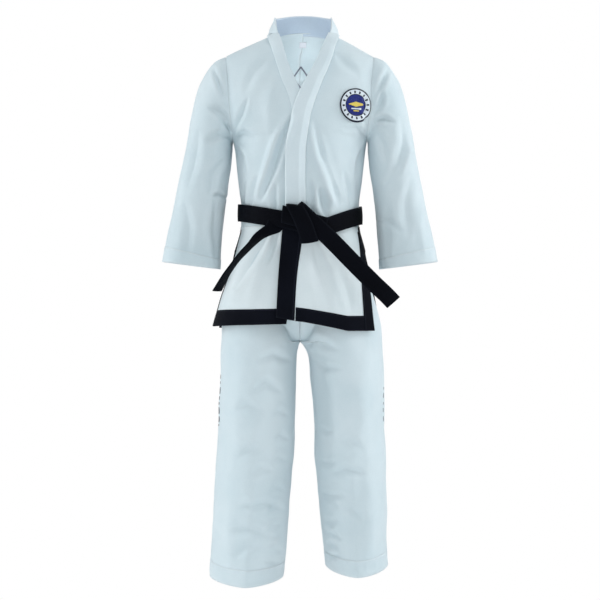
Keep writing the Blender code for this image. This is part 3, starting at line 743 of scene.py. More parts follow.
def loft(rings, count):
    """count rows smoothly through the given rings of points."""
    rings = np.asarray(rings)
    middles = rings.mean(axis=1)
    lengths = np.linalg.norm(np.diff(middles, axis=0), axis=1)
    at = np.concatenate([[0.0], np.cumsum(np.maximum(lengths, 0.012))])
    rows = []
    for s in np.linspace(0, at[-1], count):
        i = min(int(np.searchsorted(at, s, side="right")) - 1, len(at) - 2)
        step = at[i + 1] - at[i]
        t = (s - at[i]) / step
        a, b = rings[i], rings[i + 1]
        before, after = max(i - 1, 0), min(i + 2, len(at) - 1)
        slope_a = (b - rings[before]) / (at[i + 1] - at[before])
        slope_b = (rings[after] - a) / (at[after] - at[i])
        rows.append((2 * t**3 - 3 * t**2 + 1) * a + (t**3 - 2 * t**2 + t) * step * slope_a
                    + (3 * t**2 - 2 * t**3) * b + (t**3 - t**2) * step * slope_b)
    return np.array(rows)


def ring_points(outer_x, outer_z, inner_x, inner_z, depth, turn):
    across = signed_power(np.sin(turn), BODY_POWER)
    y = -depth * signed_power(np.cos(turn), BODY_POWER)
    return point((outer_x + inner_x) / 2 + (outer_x - inner_x) / 2 * across, y,
                 (outer_z + inner_z) / 2 + (outer_z - inner_z) / 2 * across)


def armhole(turn):
    across = signed_power(np.sin(turn), BODY_POWER)
    z = (ARMPIT[1] + SHOULDER[1]) / 2 + (SHOULDER[1] - ARMPIT[1]) / 2 * across * 0.9999
    angle = side_angle(z)
    return JACKET(np.where(np.cos(turn) > 0, angle, math.pi - angle), z)


def hem_fold(name, points, side):
    """The turned hem round a sleeve's or a leg's end."""
    return grid_mesh(name, points[:, ::side], WHITE, HEM_FOLD, closed=True, offset=0.0)


def hem_stitches(name, path, hem, body):
    thread = stitches(name, path, lambda p: p - hem.reshape(-1, 3).mean(axis=0), THREAD)
    finish_piece(thread, [], body=body)


SLEEVE_ROWS = 112
HEM_ROWS = 9  # the rows of the grid that a turned hem covers


def build_sleeve(name, side, folds, motion):
    turn = np.linspace(0, 2 * math.pi, 97)
    rings = [armhole(turn)] + [ring_points(*station, turn) for station in np.array(SLEEVE_RINGS) / 1000]
    base = loft(rings, SLEEVE_ROWS)
    base[:, -1] = base[:, 0]
    seam_hold = 1 - smooth(np.linspace(0, 1, SLEEVE_ROWS) / 0.05)[:, None]
    middle = base.mean(axis=1, keepdims=True)
    points = crumple(base, middle, folds, SLEEVE_BACK_FOLDS, seed=6.0 + side, swell=0.003, hold=seam_hold)
    # the armhole seam puckers a little
    start = points[0].mean(axis=0)
    points[0] = start + (points[0] - start) * 0.975 - [0.003, 0, 0]
    points[:, -1] = points[:, 0]
    if side < 0:
        base, points = base * [-1, 1, 1], points * [-1, 1, 1]
    hem = points[-HEM_ROWS:]
    out = unit(hem - hem.mean(axis=1, keepdims=True))
    hem_piece = hem_fold(f"{name}_hem_fold", hem + out * 0.0009, side)
    finish_piece(hem_piece, [f"{name.replace('sleeve', 'cuff')}_hem"], body=name)
    hem_stitches(f"{name}_hem_stitch", (hem + out * 0.0022)[1], hem, name)
    piece = cloth(f"{name}_cloth", points[:, ::side], WHITE, "hung", rests_on=["jacket_back_panel"], flat=base,
                  closed=True, with_pieces=[hem_piece])
    finish_piece(piece, [name], blend=motion)


front_panel(1, LEFT_PANEL_EDGE, "jacket_front_left", "jacket_front_left_panel", LEFT_ARM)
front_panel(-1, RIGHT_PANEL_EDGE, "jacket_front_right", "jacket_front_right_panel", RIGHT_ARM)
back_half(1, "jacket_back_left", LEFT_ARM)
back_half(-1, "jacket_back_right", RIGHT_ARM)
front_band("lapel_left", LEFT_BAND, "front_band_left")
front_band("lapel_right", RIGHT_BAND, "front_band_right")
back_collar()
build_sleeve("left_sleeve", 1, LEFT_SLEEVE_FOLDS, LEFT_ARM)
build_sleeve("right_sleeve", -1, RIGHT_SLEEVE_FOLDS, RIGHT_ARM)

# ---------------------------------------------------------------- jacket skirt below the belt

LEFT_INNER = profile(-456, -39.5, -580, -50, -700, -56)
LEFT_OUTER = profile(-470, 141.5, -540, 156, -705, 175)
RIGHT_INNER = profile(-456, -6, -580, -16, -700, -34)
RIGHT_OUTER = profile(-470, -141.5, -540, -161, -700, -208)
SKIRT_BLEND = (0, 0, -0.458), (0, 0, -0.505)
LEFT_FLAP = ("jacket", "left_front_skirt", *SKIRT_BLEND)
RIGHT_FLAP = ("jacket", "right_front_skirt", *SKIRT_BLEND)
BACK_FLAP = ("jacket", "back_skirt", *SKIRT_BLEND)

SKIRT_FOLDS = (
    # gathered under the knot, running out to the hem
    crease(9, 4.6, -50, -452, -62, -500, -78, -545),
    crease(13, 6, -66, -462, -96, -510, -128, -560, -150, -600),
    ridge(16, 2, -60, -470, -86, -540, -116, -640),
    ridge(16, 2, -120, -560, -150, -610, -172, -660),
    crease(18, 2.2, 20, -490, 44, -560, 68, -650),
    ridge(14, 2, 40, -495, 74, -560, 104, -640),
    crease(14, 1.8, 90, -560, 112, -610, 120, -660),
)
SKIRT_BACK_FOLDS = (
    crease(16, 5.6, -100, -455, -122, -540, -140, -690),
    crease(18, 5.6, -34, -455, -40, -560, -52, -690),
    crease(18, 5, 44, -455, 50, -560, 58, -690),
    crease(16, 5.6, 104, -455, 126, -550, 150, -690),
    ridge(20, 3.6, 0, -480, 4, -560, 2, -680),
)


def left_flap(share, down, lift):
    """share runs from the front edge to the slit, down from the belt to the hem."""
    hem = mix(-0.671, -0.702, np.minimum(1.0, share * 1.6))
    z = mix(SKIRT_TOP_Z, hem, down)
    half = JACKET_HALF(z)
    over = 0.0046 * (1 - smooth(share / 0.45))
    return lifted(JACKET, mix(angle_of(LEFT_INNER(z), half), angle_of(LEFT_OUTER(z), half), share), z, lift + over)


def right_flap(share, down, lift):
    hem = mix(-0.686, -0.693, share)
    z = mix(SKIRT_TOP_Z, hem, down)
    half = JACKET_HALF(z)
    under = -0.0030 * (1 - smooth(share / 0.45))
    outer = mix(angle_of(RIGHT_OUTER(z), half), -1.54, smooth((down - 0.15) / 0.45))
    points = lifted(JACKET, mix(angle_of(RIGHT_INNER(z), half), outer, share), z, lift + under)
    points[..., 0] *= 1 - 0.020 * smooth((share - 0.6) / 0.4) * smooth((down - 0.15) / 0.45)
    return points


def back_flap(share, down, lift):
    z = mix(SKIRT_TOP_Z, -0.698, down)
    half = JACKET_HALF(z)
    edge = angle_of(mix(0.1415, 0.1950, down), half)
    return lifted(JACKET, math.pi + mix(-edge, edge, share), z, lift)


FLAP_GRID = (70, 66)


def flap_points(surface, span, drop, lift, size, straight):
    """The smooth and the folded grid of a part of a flap. span is its range of shares across
    the flap and drop down it. straight keeps the flap's front edge nearly free of folds."""
    share, down = lattice(*size)
    share, down = mix(*span, share), mix(*drop, down)
    base = surface(share, down, 0.0)
    flat = surface(share, down, lift)
    hold = 0.9 * (1 - smooth((share - 0.17) / 0.12)) if straight else None
    points = crumple(flat, MIDDLE, SKIRT_FOLDS, SKIRT_BACK_FOLDS, seed=9.0, swell=0.003, where=base, hold=hold)
    return flat, points


def build_flap(name, surface, motion, node_name, trims, straight=False):
    """A flap of cloth with its black trims folded over its edges."""
    pieces = []
    for trim_name, span, drop, lift, trim_node in trims:
        width, height = span[1] - span[0], drop[1] - drop[0]
        size = [max(6, int(part * full) + 2) for part, full in zip((width, height), FLAP_GRID)]
        _, points = flap_points(surface, span, drop, lift, size, straight)
        piece = grid_mesh(f"{trim_name}_cloth", points, BLACK, TRIM, offset=0.0)
        finish_piece(piece, [trim_node], blend=motion)
        pieces.append(piece)
        # a row of stitching along the trim's inner edge
        if width > height:
            path = points[1]
        else:
            path = points[:, 1] if span[0] > 0.5 else points[:, -2]
        thread = stitches(f"{trim_name}_stitch", path + unit(path * LEVEL) * 0.0019, radial, INK)
        finish_piece(thread, [], blend=motion)
    flat, points = flap_points(surface, (0.0, 1.0), (0.0, 1.0), 0.0, FLAP_GRID, straight)
    # the flap's cloth is the lighter copy of the white cotton: painted light
    body = cloth(f"{name}_cloth", points, LIT_SKIRT_COTTON, "hung", rests_on=["jacket_back_panel"], flat=flat, offset=0.0,
                 with_pieces=pieces)
    finish_piece(body, [node_name], blend=motion)


build_flap("left_front_flap", left_flap, LEFT_FLAP, "left_front_skirt", (
    ("left_edge_trim", (0.0, 0.155), (0.0, 1.0), 0.0004, "left_front_edge_trim"),
    ("left_hem_trim", (0.16, 0.90), (0.858, 1.0), 0.0, "left_front_hem_trim"),
    ("left_slit_trim", (0.845, 1.0), (0.0, 1.0), 0.0006, "left_front_slit_trim"),
), straight=True)
build_flap("right_front_flap", right_flap, RIGHT_FLAP, "right_front_skirt", (
    ("right_hem_trim", (0.0, 0.955), (0.842, 1.0), 0.0, "right_front_hem_trim"),
    ("right_slit_trim", (0.945, 1.0), (0.0, 1.0), 0.0006, "right_front_slit_trim"),
))
build_flap("back_flap", back_flap, BACK_FLAP, "back_skirt", (
    ("back_hem_trim", (0.06, 0.94), (0.845, 1.0), 0.0, "back_hem_trim"),
    ("back_left_slit_trim", (0.0, 0.085), (0.0, 1.0), 0.0006, "back_left_slit_trim"),
    ("back_right_slit_trim", (0.915, 1.0), (0.0, 1.0), 0.0006, "back_right_slit_trim"),
))

# ---------------------------------------------------------------- trousers

SEAT = Tube(
    lambda z: 0.0 * z,
    profile(-690, 190, -620, 172, -550, 150, -470, 131, -420, 128, -372, 127),
    profile(-740, 113, -690, 113, -600, 108, -470, 96, -372, 93),
    profile(-740, 117, -690, 117, -600, 111, -470, 93, -372, 89),
    SEAT_POWER,
)
WAIST_Z = -0.372
CROTCH_Z = -0.7280
RISE_Z = -0.5700
LEG_BLEND = (0, 0, -0.722), (0, 0, -0.840)
LEG_DEPTH = profile(-684, 108, -720, 108, -780, 106, -950, 92, -1290, 78)
LEG_POWER = curve((-0.740, 0.90), (-0.900, 1.02), (-1.100, 1.14), (-1.240, 1.30), (-1.290, 1.42))


def leg_tube(outer, inner):
    return Tube(lambda z: (outer(z) + inner(z)) / 2, lambda z: (outer(z) - inner(z)) / 2,
                LEG_DEPTH, LEG_DEPTH, LEG_POWER)


LEFT_LEG = leg_tube(
    profile(-620, 174, -684, 189, -722, 194, -770, 197.5, -905, 201, -1260, 210),
    profile(-684, 0, -728, 0, -736, 8, -764, 21.5, -811, 26.5, -950, 35, -1133, 50, -1262, 62),
)
RIGHT_LEG = leg_tube(
    profile(-620, 173, -684, 185, -722, 187, -770, 189, -950, 195, -1292, 215),
    profile(-684, 0, -728, 0, -736, 4, -764, 8.5, -811, 11, -986, 16, -1147, 29, -1289, 41),
)
LEFT_LEG_FOLDS = (
    crease(6, 3, 66, -1100, 78, -1106, 90, -1122),
    crease(6, 3.4, 70, -1180, 82, -1184, 96, -1198),
    crease(5.5, 3, 70, -1236, 80, -1238, 96, -1230),
    crease(9, 3.4, 110, -1120, 132, -1128, 150, -1150),
    crease(9, 3, 100, -960, 126, -966, 146, -984),
    lap(18, 3, 150, -1000, 156, -1100, 152, -1250),
    crease(9, 6, 12, -670, 16, -702, 10, -732),
    crease(9, 3, 30, -690, 28, -716, 18, -744),
    crease(8.1, 4.5, 34, -770, 60, -790, 96, -790),
    crease(9.7, 5.7, 10, -735, 40, -727, 86, -746),
    lap(24, 4, 60, -820, 72, -900, 74, -990),
    crease(9.7, 4.8, 78, -1040, 108, -1028, 148, -1040),
    crease(8.1, 3.9, 56, -1088, 80, -1094, 110, -1092),
    crease(7.3, 3.3, 64, -1214, 76, -1208, 92, -1218),
    ridge(24, 3, 130, -800, 144, -900, 140, -1010),
    crease(22, 4, 120, -1080, 126, -1160, 122, -1240),
    ridge(18, 3, 160, -1060, 168, -1160, 172, -1240),
    crease(7.3, 3.1, 46, -930, 60, -940, 76, -938),
    crease(7.3, 2.9, 52, -1010, 66, -1016, 84, -1012),
    crease(7.3, 3.1, 60, -1150, 74, -1156, 92, -1152),
    crease(16, 3, 170, -760, 182, -860, 180, -980),
)
RIGHT_LEG_FOLDS = (
    crease(6, 3, 46, -1110, 60, -1116, 78, -1134),
    crease(6, 3.6, 48, -1160, 64, -1164, 84, -1178),
    crease(5.5, 3.2, 48, -1205, 62, -1208, 82, -1220),
    crease(5.5, 3, 50, -1252, 62, -1254, 84, -1246),
    crease(9, 3.4, 100, -1210, 130, -1216, 156, -1236),
    crease(9, 3, 90, -980, 120, -986, 146, -1004),
    lap(18, 3, 154, -1000, 160, -1100, 156, -1270),
    crease(9, 6, 8, -670, 10, -702, 6, -734),
    crease(9, 3, 26, -690, 22, -716, 12, -746),
    crease(9.7, 5, 24, -772, 60, -758, 96, -770),
    crease(9.7, 5.4, 46, -845, 78, -823, 112, -842),
    crease(11.3, 3.9, 86, -895, 120, -878, 152, -890),
    crease(8.9, 4, 66, -1030, 90, -1026, 114, -1040),
    crease(8.9, 4.8, 36, -1128, 80, -1110, 140, -1120),
    crease(8.9, 4.2, 66, -1190, 110, -1172, 168, -1178),
    crease(7.3, 3.4, 30, -900, 50, -892, 66, -900),
    crease(6.5, 3.3, 26, -960, 44, -950, 60, -958),
    crease(7.3, 3.3, 30, -1010, 50, -1002, 62, -1012),
    crease(7.3, 3.3, 38, -1080, 54, -1070, 70, -1080),
    crease(7.3, 2.9, 40, -1230, 62, -1218, 80, -1226),
    ridge(26, 3.4, 130, -780, 148, -880, 142, -990),
    lap(26, 3.4, 96, -940, 110, -1040, 104, -1120),
    crease(18, 3.4, 170, -960, 178, -1080, 186, -1220),
)
LEG_BACK_FOLDS = (
    crease(15, 6, 30, -760, 80, -790, 140, -780),
    crease(15, 4, 40, -820, 90, -838, 150, -826),
    crease(14, 5.6, 60, -980, 110, -1000, 160, -984),
    crease(14, 4, 66, -1030, 110, -1048, 170, -1032),
    crease(24, 4.4, 110, -1060, 120, -1160, 118, -1260),
    crease(15, 4, 60, -660, 70, -710, 110, -740),
)


def softened(folds):
    """The same folds, wider and shallower, for loose legs."""
    return tuple((course, width * 1.3, depth * 0.75, kind) for course, width, depth, kind in folds)


LEFT_LEG_FOLDS = softened(LEFT_LEG_FOLDS)
RIGHT_LEG_FOLDS = softened(RIGHT_LEG_FOLDS)


def trouser_half(side):
    """One half of the trousers in left-hand coordinates: seat, rise and leg as one cloth."""
    tube = LEFT_LEG if side > 0 else RIGHT_LEG
    hem_z, dip = (-1.262, 0.022) if side > 0 else (-1.290, 0.018)
    top = np.linspace(WAIST_Z - 0.038, RISE_Z, 40)
    bend = RISE_Z + (CROTCH_Z - RISE_Z) * np.sin(np.linspace(0, math.pi / 2, 26))[1:]
    low = np.linspace(CROTCH_Z, hem_z, 118)[1:]
    heights = np.concatenate([top, bend, low])
    share, z = np.meshgrid(np.linspace(0, 1, 121), heights)
    t = np.clip((z - RISE_Z) / (CROTCH_Z - RISE_Z), 0, 1)
    # the centre seam curves under, and the rest goes over to the leg's section gently
    weight = mix(1 - np.sqrt(np.maximum(0.0, 1 - t**2)), smooth(t), smooth(np.minimum(share, 1 - share) / 0.16))
    # the hem hangs lower in front
    turn = -math.pi / 2 + 2 * math.pi * share
    fall = np.clip((z - CROTCH_Z) / (hem_z - CROTCH_Z), 0, 1) ** 3
    drop = dip * np.maximum(0.0, np.cos(turn)) * fall
    seat = SEAT(math.pi * share, z)
    leg = tube(turn, z)
    base = seat * (1 - weight[..., None]) + leg * weight[..., None]
    ends = smooth(np.minimum(share, 1 - share) / 0.02)
    base[..., 0] = np.where(z > CROTCH_Z, base[..., 0] * ends + 0.0005 * (1 - ends), base[..., 0])
    base[..., 2] -= drop
    folds = LEFT_LEG_FOLDS if side > 0 else RIGHT_LEG_FOLDS
    hold = np.where(z > CROTCH_Z - 0.02, 1 - smooth(np.minimum(share, 1 - share) / 0.06), 0.0)
    hold = np.maximum(hold, 1 - smooth((z - hem_z) / 0.012))
    points = crumple(base, point(0.1, 0.0, 0.0), folds, LEG_BACK_FOLDS, seed=12.0 + side * 3, swell=0.0045,
                     hold=hold)
    below = heights <= CROTCH_Z
    points[below, -1] = points[below, 0]
    if side < 0:
        base, points = base * [-1, 1, 1], points * [-1, 1, 1]
    return base, points


def build_trouser_leg(side, name):
    motion = ("trousers", f"{name}_leg", *LEG_BLEND)
    base, points = trouser_half(side)
    piece = cloth(f"{name}_trouser_half", points[:, ::side], WHITE, "hung", rests_on=["waistband"], flat=base)
    finish_piece(piece, [f"{name}_seat", f"{name}_leg", "crotch_gusset"], blend=motion)
    # a deep turned hem, with rows of stitching above it
    hem = points[-HEM_ROWS:]
    out = unit((hem - hem.mean(axis=1, keepdims=True)) * LEVEL)
    hem_piece = hem_fold(f"{name}_leg_hem_fold", hem + out * 0.0002, side)
    finish_piece(hem_piece, [f"{name}_leg_hem"], body=f"{name}_leg")
    SHEETS[-1][-1].append(hem_piece)
    for row in (0, 2):
        hem_stitches(f"{name}_leg_hem_stitch_{row}", (hem + out * 0.0018)[row], hem, f"{name}_leg")
    return points


LEFT_POINTS = build_trouser_leg(1, "left")
RIGHT_POINTS = build_trouser_leg(-1, "right")


WAIST_RIPPLES = 64


def waist_ring(name, low, high, lift, look, thick, node_name, depth):
    """A band round the trousers' waist, gathered into ripples by its elastic."""
    angle, z = np.meshgrid(np.linspace(0, 2 * math.pi, 361), np.linspace(low, high, 12))
    ripple = np.sin(angle * WAIST_RIPPLES) * np.sin(np.pi * (z - low) / (high - low)) ** 0.5
    points = lifted(SEAT, angle, z, lift + depth * ripple)
    points[:, -1] = points[:, 0]
    piece = cloth(name, points, look, "gathered", rests_on=["left_seat"], thick=thick, closed=True, offset=0.0)
    finish_piece(piece, [node_name], body="trousers")


waist_ring("trouser_waistband", WAIST_Z - 0.041, WAIST_Z, 0.0008, WHITE, 0.0026, "waistband",
           0.0009)
waist_ring("trouser_elastic", WAIST_Z - 0.035, WAIST_Z - 0.006, -0.0022, TAPE, 0.0012, "waist_elastic",
           0.0006)

# ---------------------------------------------------------------- belt

STRAP = 0.0026
STRAP_WIDTH = 0.040
# its middle height and its lift off the jacket's front, across x
BELT_MIDDLE = profile(-150, -420, -84, -433, -40, -442, 0, -452, 50, -460, 75, -453, 150, -425.5)
BELT_LIFT = profile(-110, 5, -60, 11.8, 0, 12.5, 30, 11.8, 90, 5)


def belt_turn(name, index, node_name):
    """One turn of the belt round the waist, slightly crowned. The second lies on the first."""
    angle, across = np.meshgrid(np.linspace(0, 2 * math.pi, 241), np.linspace(-0.5, 0.5, 12))
    x = JACKET(angle, -0.430)[..., 0]
    back_middle = mix(-0.4200, -0.4255, (x + 0.15) / 0.3)
    middle = np.where(np.cos(angle) > 0, BELT_MIDDLE(x), back_middle)
    lift = np.where(np.cos(angle) > 0, BELT_LIFT(x), 0.0050) + index * 0.0034
    lift = lift + 0.0012 * np.cos(across * math.pi) + 0.0004 * np.sin(angle * 9 + index)
    z = middle + across * STRAP_WIDTH + (0.0016 if index == 0 else 0.0) * np.sin(angle * 2)
    points = lifted(JACKET, angle, z, lift)
    points[..., 2] = z
    points[:, -1] = points[:, 0]
    piece = grid_mesh(name, points, BELT, STRAP, closed=True, offset=0.0)
    finish_piece(piece, [node_name], body="jacket")


def strap_grid(stations, along, crown=0.0012):
    """A strap's grid through its stations. Rows run along the strap."""
    centres, halves = np.split(np.array(stations)[:, None] / 1000, 2, axis=-1)
    edges = loft(centres + halves, along)[:, 0]
    centres = loft(centres, along)[:, 0]
    halves = unit(edges - centres) * (STRAP_WIDTH / 2)
    share = np.linspace(-1, 1, 11)[:, None, None]
    points = centres[None] + halves[None] * share
    normal = normals_of(points)
    if normal[..., 1].mean() > 0:
        normal = -normal
    return points + normal * crown * (1 - share**2)


def strap_piece(name, stations, nodes, body=None, blend=None, held=None, **options):
    points = strap_grid(stations, **options)
    if held:
        piece = cloth(name, points, BELT, held, rests_on=["belt_knot_pass"], thick=STRAP, offset=0.0)
    else:
        piece = grid_mesh(name, points, BELT, STRAP, offset=0.0)
    finish_piece(piece, nodes, body=body, blend=blend)


# Each strap's stations, in millimetres: its centre, then its half width as a vector.
# the tail on the wearer's left lies flat, slanting down over the skirt
LEFT_TAIL = (
    (-10, -137, -416, 14, 0, 14.2),
    (-2, -144, -421.5, 14.2, 0, 14.2),
    (20, -145.5, -442, 14.2, 0, 14.2),
    (50, -144, -470, 14.2, 0, 14.2),
    (83, -140, -502, 14.2, 0, 14.2),
    (120, -138, -540, 14.2, 0, 14.2),
    (170, -134, -590, 14.2, 2, 14.2),
    (200, -129, -618, 14.2, 3, 13.8),
    (217.5, -124, -636, 14.6, 4, 12.8),
)
# the tail on the right turns edge-on as it falls
RIGHT_TAIL = (
    (-50, -115.5, -438, 20, 0, -4.5),
    (-56, -118.5, -451, 20, 0, -4.5),
    (-63, -127, -464, 19.6, 1, -5),
    (-79, -131, -472.5, 15, 12, -5.5),
    (-95, -133, -483, 10, 17, -4),
    (-111, -133.5, -499, 8, 18.3, -2),
    (-128, -133, -516, 7.8, 18.4, -1),
    (-148, -131, -539, 6.4, 19, 0),
    (-170, -130, -569, 7.2, 18.7, 0),
    (-193, -128, -609, 9.2, 17.8, 0),
)
# the last pass comes over the top of the knot and tucks in below
KNOT_WRAP = (
    (-11, -128, -419, 20.5, 0, -3),
    (-12.5, -137, -411, 20.5, 0, -3),
    (-11.5, -147, -414, 20.5, 0, 0),
    (-3, -150, -429, 20.3, 0, 3),
    (8, -150.5, -452, 20.2, 0, 4),
    (18, -150, -480, 20.4, 0, 3),
    (22.5, -145, -493.5, 20.4, 0, 3),
    (22.5, -136, -495, 20.4, 0, 3),
    (20, -129, -489, 20.4, 0, 3),
)
# the folded strap that fills the knot
KNOT_CORE = (
    (-42, -133, -430, 2, 0, 20.4),
    (-26, -136, -435, 2, 0, 20.4),
    (8, -138.5, -444, 3, 0, 20.3),
    (40, -137, -453, 6, 0, 20),
    (60, -133, -458, 7, 0, 19.5),
)

belt_turn("belt_inner_strap", 0, "belt_inner_turn")
belt_turn("belt_outer_strap", 1, "belt_outer_turn")
strap_piece("belt_knot_fill", KNOT_CORE, ["belt_knot_core"], body="jacket", along=40, crown=0.0030)
strap_piece("belt_knot_wrap", KNOT_WRAP, ["belt_knot_pass"], body="jacket", along=110, crown=0.0014)
strap_piece("left_tail_strap", LEFT_TAIL, ["left_belt_tail"], held="hung",
            blend=("jacket", "left_belt_tail", (0.040, 0, -0.460), (0.085, 0, -0.505)), along=130)
strap_piece("right_tail_strap", RIGHT_TAIL, ["right_belt_tail"], held="hung",
            blend=("jacket", "right_belt_tail", (-0.050, 0, -0.450), (-0.085, 0, -0.478)), along=120)

# ---------------------------------------------------------------- badge, label, markings, tapes


def on_chest(x, z, lift):
    """A point of the folded chest cloth at x and z, lifted off it."""
    base = on_front(x, z)
    flat = on_front(x, z, lift)
    return crumple(flat, MIDDLE, CHEST_FOLDS, hold=armhole_hold(base), seed=2.0, where=base)


BADGE_X, BADGE_Z = 0.1290, -0.1740
BADGE_RX, BADGE_RZ = 0.0362, 0.0388


def badge_face(i, j):
    """Material by ring: dark border, pale ring with plain ticks, dark line, blue middle."""
    radius = (i + 0.5) / 26
    if radius < 0.60:
        return 0
    if radius < 0.65:
        return 2
    if radius < 0.92:
        return 2 if 0.70 < radius < 0.86 and (j // 2) % 3 == 0 else 1
    return 2


def chest_badge():
    radius, turn = np.meshgrid(np.linspace(0.004, 1, 27), np.linspace(0, 2 * math.pi, 97), indexing="ij")
    edge = 0.0026 + 0.0009 * smooth((1 - radius) / 0.06) + 0.0004 * np.cos(radius * 40)
    points = on_chest(BADGE_X + BADGE_RX * radius * np.cos(turn), BADGE_Z + BADGE_RZ * radius * np.sin(turn), edge)
    points[:, -1] = points[:, 0]
    piece = grid_mesh("badge_disc", points, None, CLOTH, closed=True, offset=0.0, looks=[BLUE, THREAD, INK],
                      face_look=badge_face)
    finish_piece(piece, ["chest_badge"], body="jacket")


def badge_shape(name, low_x, high_x, low_z, high_z, look, pinch):
    """A raised embroidered shape, drawn in towards its two ends by pinch."""
    share, rise = lattice(26, 9)
    x = mix(low_x, high_x, share)
    half = (high_z - low_z) / 2 * (1 - pinch * np.abs(2 * share - 1))
    z = (low_z + high_z) / 2 + half * (2 * rise - 1)
    lift = 0.0044 + 0.0007 * np.sin(np.pi * rise)
    piece = grid_mesh(name, on_chest(BADGE_X + x, BADGE_Z + z, lift), look, 0.0010, offset=0.0)
    finish_piece(piece, [], body="jacket")


chest_badge()
badge_shape("badge_lozenge", -0.0165, 0.0165, -0.0045, 0.0075, GOLD, 0.96)
badge_shape("badge_bar", -0.0110, 0.0110, -0.0100, -0.0075, THREAD, 0.35)
badge_shape("badge_bar_low", -0.0060, 0.0060, -0.0148, -0.0125, GOLD, 0.35)


def inside_back(x, z, lift):
    """A point inside the jacket's back, lifted off it into the jacket."""
    angle = math.pi - angle_of(x, JACKET_HALF(z))
    base = JACKET(angle, z)
    flat = lifted(JACKET, angle, z, -lift)
    return crumple(flat, MIDDLE, back=BACK_FOLDS, hold=armhole_hold(base), seed=4.0, where=base)


def neck_label():
    share, rise = lattice(14, 10)
    points = inside_back(mix(-0.0085, 0.0085, share), mix(-0.014, -0.001, rise), 0.0022)
    piece = grid_mesh("label_patch", points, LABEL, 0.0008, offset=0.0)
    finish_piece(piece, ["neck_label"], body="jacket")


def back_lozenge():
    """A plain lozenge stitched through the back, showing inside the neck opening."""
    corners = ((0.002, -0.058), (0.021, -0.083), (0.002, -0.108), (-0.017, -0.083), (0.002, -0.058))
    for index, (a, b) in enumerate(zip(corners[:-1], corners[1:])):
        along, side = lattice(30, 4)
        run = np.array([b[0] - a[0], b[1] - a[1]])
        across = np.array([-run[1], run[0]]) / np.linalg.norm(run) * 0.0034
        x = a[0] + run[0] * along + across[0] * (side - 0.5)
        z = a[1] + run[1] * along + across[1] * (side - 0.5)
        piece = grid_mesh(f"back_lozenge_side_{index}", inside_back(x, z, 0.0024), TAPE, THIN_TAPE, offset=0.0)
        finish_piece(piece, [], body="jacket")


def closure_tapes():
    """Two pairs of tapes that hold the wrap shut between the bands."""
    for place, low_z in (("upper", -0.268), ("lower", -0.366)):
        for kind, lift in (("loop", 0.0054), ("hook", 0.0066)):
            share, rise = lattice(10, 24)
            points = on_chest(mix(-0.018, -0.003, share), mix(low_z, low_z + 0.050, rise), lift)
            piece = grid_mesh(f"closure_{kind}_{place}_tape", points, TAPE, THIN_TAPE, offset=0.0)
            finish_piece(piece, [f"closure_{kind}_{place}"], body="jacket")


def sample(points, share, z):
    """A point of a leg's grid at share round it and at height z."""
    column = share * (points.shape[1] - 1)
    j = int(column)
    line = mix(points[:, j], points[:, min(j + 1, points.shape[1] - 1)], column - j)
    heights = line[::-1, 2]
    return np.array([np.interp(z, heights, line[::-1, k]) for k in range(3)])


def side_marks(name, points, side, top, marks):
    """Plain dark embroidered dashes down the side of a leg. Each is (start, length, turn, half
    width), the last two in degrees round the leg."""
    for index, (start, length, turn, width) in enumerate(marks):
        rows = []
        for down in np.linspace(0, 1, 8):
            row = []
            z = top - start - length * down
            taper = 0.45 + 0.55 * math.sin(math.pi * (0.15 + 0.7 * down))
            for across in np.linspace(-1, 1, 6):
                angle = math.radians(turn + across * width * taper)
                here = sample(points, (angle + math.pi / 2) / (2 * math.pi), z)
                out = np.array([side * math.sin(angle), -math.cos(angle), 0.0])
                row.append(here + out * (0.0010 + 0.0005 * (1 - across**2)))
            rows.append(row)
        mark = grid_mesh(f"{name}_side_mark_{index}", np.array(rows), INK, 0.0008, offset=0.0)
        nodes = [f"{name}_leg_side_patch"] if index == 0 else []
        finish_piece(mark, nodes, blend=("trousers", f"{name}_leg", *LEG_BLEND))


RIGHT_MARKS = ((0.000, 0.010, 80, 3.0), (0.016, 0.006, 80, 2.0), (0.030, 0.016, 80, 4.2), (0.052, 0.008, 79, 3.0),
               (0.066, 0.006, 80, 4.2), (0.078, 0.016, 79, 4.4), (0.100, 0.014, 79, 4.4), (0.118, 0.005, 80, 3.0))
LEFT_MARKS = ((0.000, 0.006, 82, 2.0), (0.014, 0.012, 81, 2.6), (0.036, 0.006, 82, 2.0), (0.050, 0.010, 81, 2.6),
              (0.070, 0.012, 81, 2.6))

neck_label()
back_lozenge()
closure_tapes()
side_marks("right", RIGHT_POINTS, -1, -0.808, RIGHT_MARKS)
side_marks("left", LEFT_POINTS, 1, -0.838, LEFT_MARKS)

# ---------------------------------------------------------------- floor, light and camera

FLOOR_Z = -2.25
FLOOR_RADIUS = 3.2
CAMERA_AWAY = 4.0
CAMERA_Z = -0.63
VIEW_HALF_WIDTH = 0.72  # of the view at the object's middle


def floor():
    look = bpy.data.materials.new("pale_floor")
    look.use_nodes = True
    shader = look.node_tree.nodes["Principled BSDF"]
    shader.inputs["Base Color"].default_value = (0.86, 0.87, 0.88, 1)
    shader.inputs["Roughness"].default_value = 0.9
    bpy.ops.mesh.primitive_circle_add(vertices=96, radius=FLOOR_RADIUS, fill_type="NGON", location=(0, 0, FLOOR_Z))
    obj = bpy.context.object
    obj.name = "floor"
    obj.data.materials.append(look)


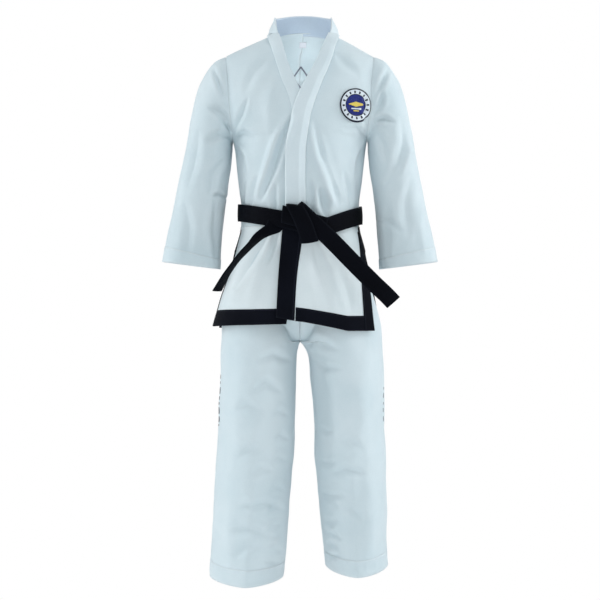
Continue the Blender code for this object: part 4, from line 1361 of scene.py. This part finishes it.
def softbox(name, place, target, size, power):
    light = bpy.data.lights.new(name, "AREA")
    light.shape = "RECTANGLE"
    light.size, light.size_y = size
    light.energy = power
    obj = in_scene(name, light)
    obj.location = place
    obj.rotation_euler = (Vector(target) - Vector(place)).to_track_quat("-Z", "Y").to_euler()
    return obj


def studio():
    world = bpy.data.worlds.new("studio")
    bpy.context.scene.world = world
    world.use_nodes = True
    tree = world.node_tree
    # a cool fill lights the object, and the camera sees plain white behind it
    fill = tree.nodes["Background"]
    fill.inputs["Color"].default_value = (0.93, 0.97, 1.0, 1)
    fill.inputs["Strength"].default_value = 0.465
    backdrop = node(tree, "ShaderNodeBackground", {"Color": (1, 1, 1, 1)})
    path = node(tree, "ShaderNodeLightPath")
    choose = node(tree, "ShaderNodeMixShader")
    output = tree.nodes["World Output"]
    links(tree, (path.outputs["Is Camera Ray"], choose.inputs[0]), (fill.outputs[0], choose.inputs[1]),
          (backdrop.outputs[0], choose.inputs[2]), (choose.outputs[0], output.inputs["Surface"]))
    softbox("left_softbox", (-2.8, 0.0, 0.3), (0, 0, -0.6), (1.0, 2.6), 46)
    softbox("right_softbox", (2.8, 0.1, 0.3), (0, 0, -0.6), (1.0, 2.6), 48)
    softbox("top_softbox", (1.2, -1.3, 2.0), (0, 0, -0.4), (1.4, 0.9), 19)
    softbox("front_softbox", (-0.5, -3.6, -1.2), (0, 0, -0.70), (1.0, 1.2), 34)
    # a small soft lamp inside the jacket, facing the cloth that shows through the neck opening
    neck_fill = softbox("neck_fill", (0.005, -0.040, -0.115), (0.005, 0.10, -0.090), (0.09, 0.09), 0.17)
    neck_fill.visible_camera = False
    softbox("back_softbox", (0.4, 3.0, 0.5), (0, 0, -0.6), (1.6, 1.6), 52)


def camera():
    data = bpy.data.cameras.new("camera")
    data.sensor_fit = "HORIZONTAL"
    data.angle = 2 * math.atan(VIEW_HALF_WIDTH / CAMERA_AWAY)
    obj = in_scene("camera", data)
    obj.location = (0.0, -CAMERA_AWAY, CAMERA_Z)
    obj.rotation_euler = (math.pi / 2, 0, 0)
    bpy.context.scene.camera = obj


floor()
studio()
camera()
bpy.context.scene.view_settings.view_transform = "Standard"
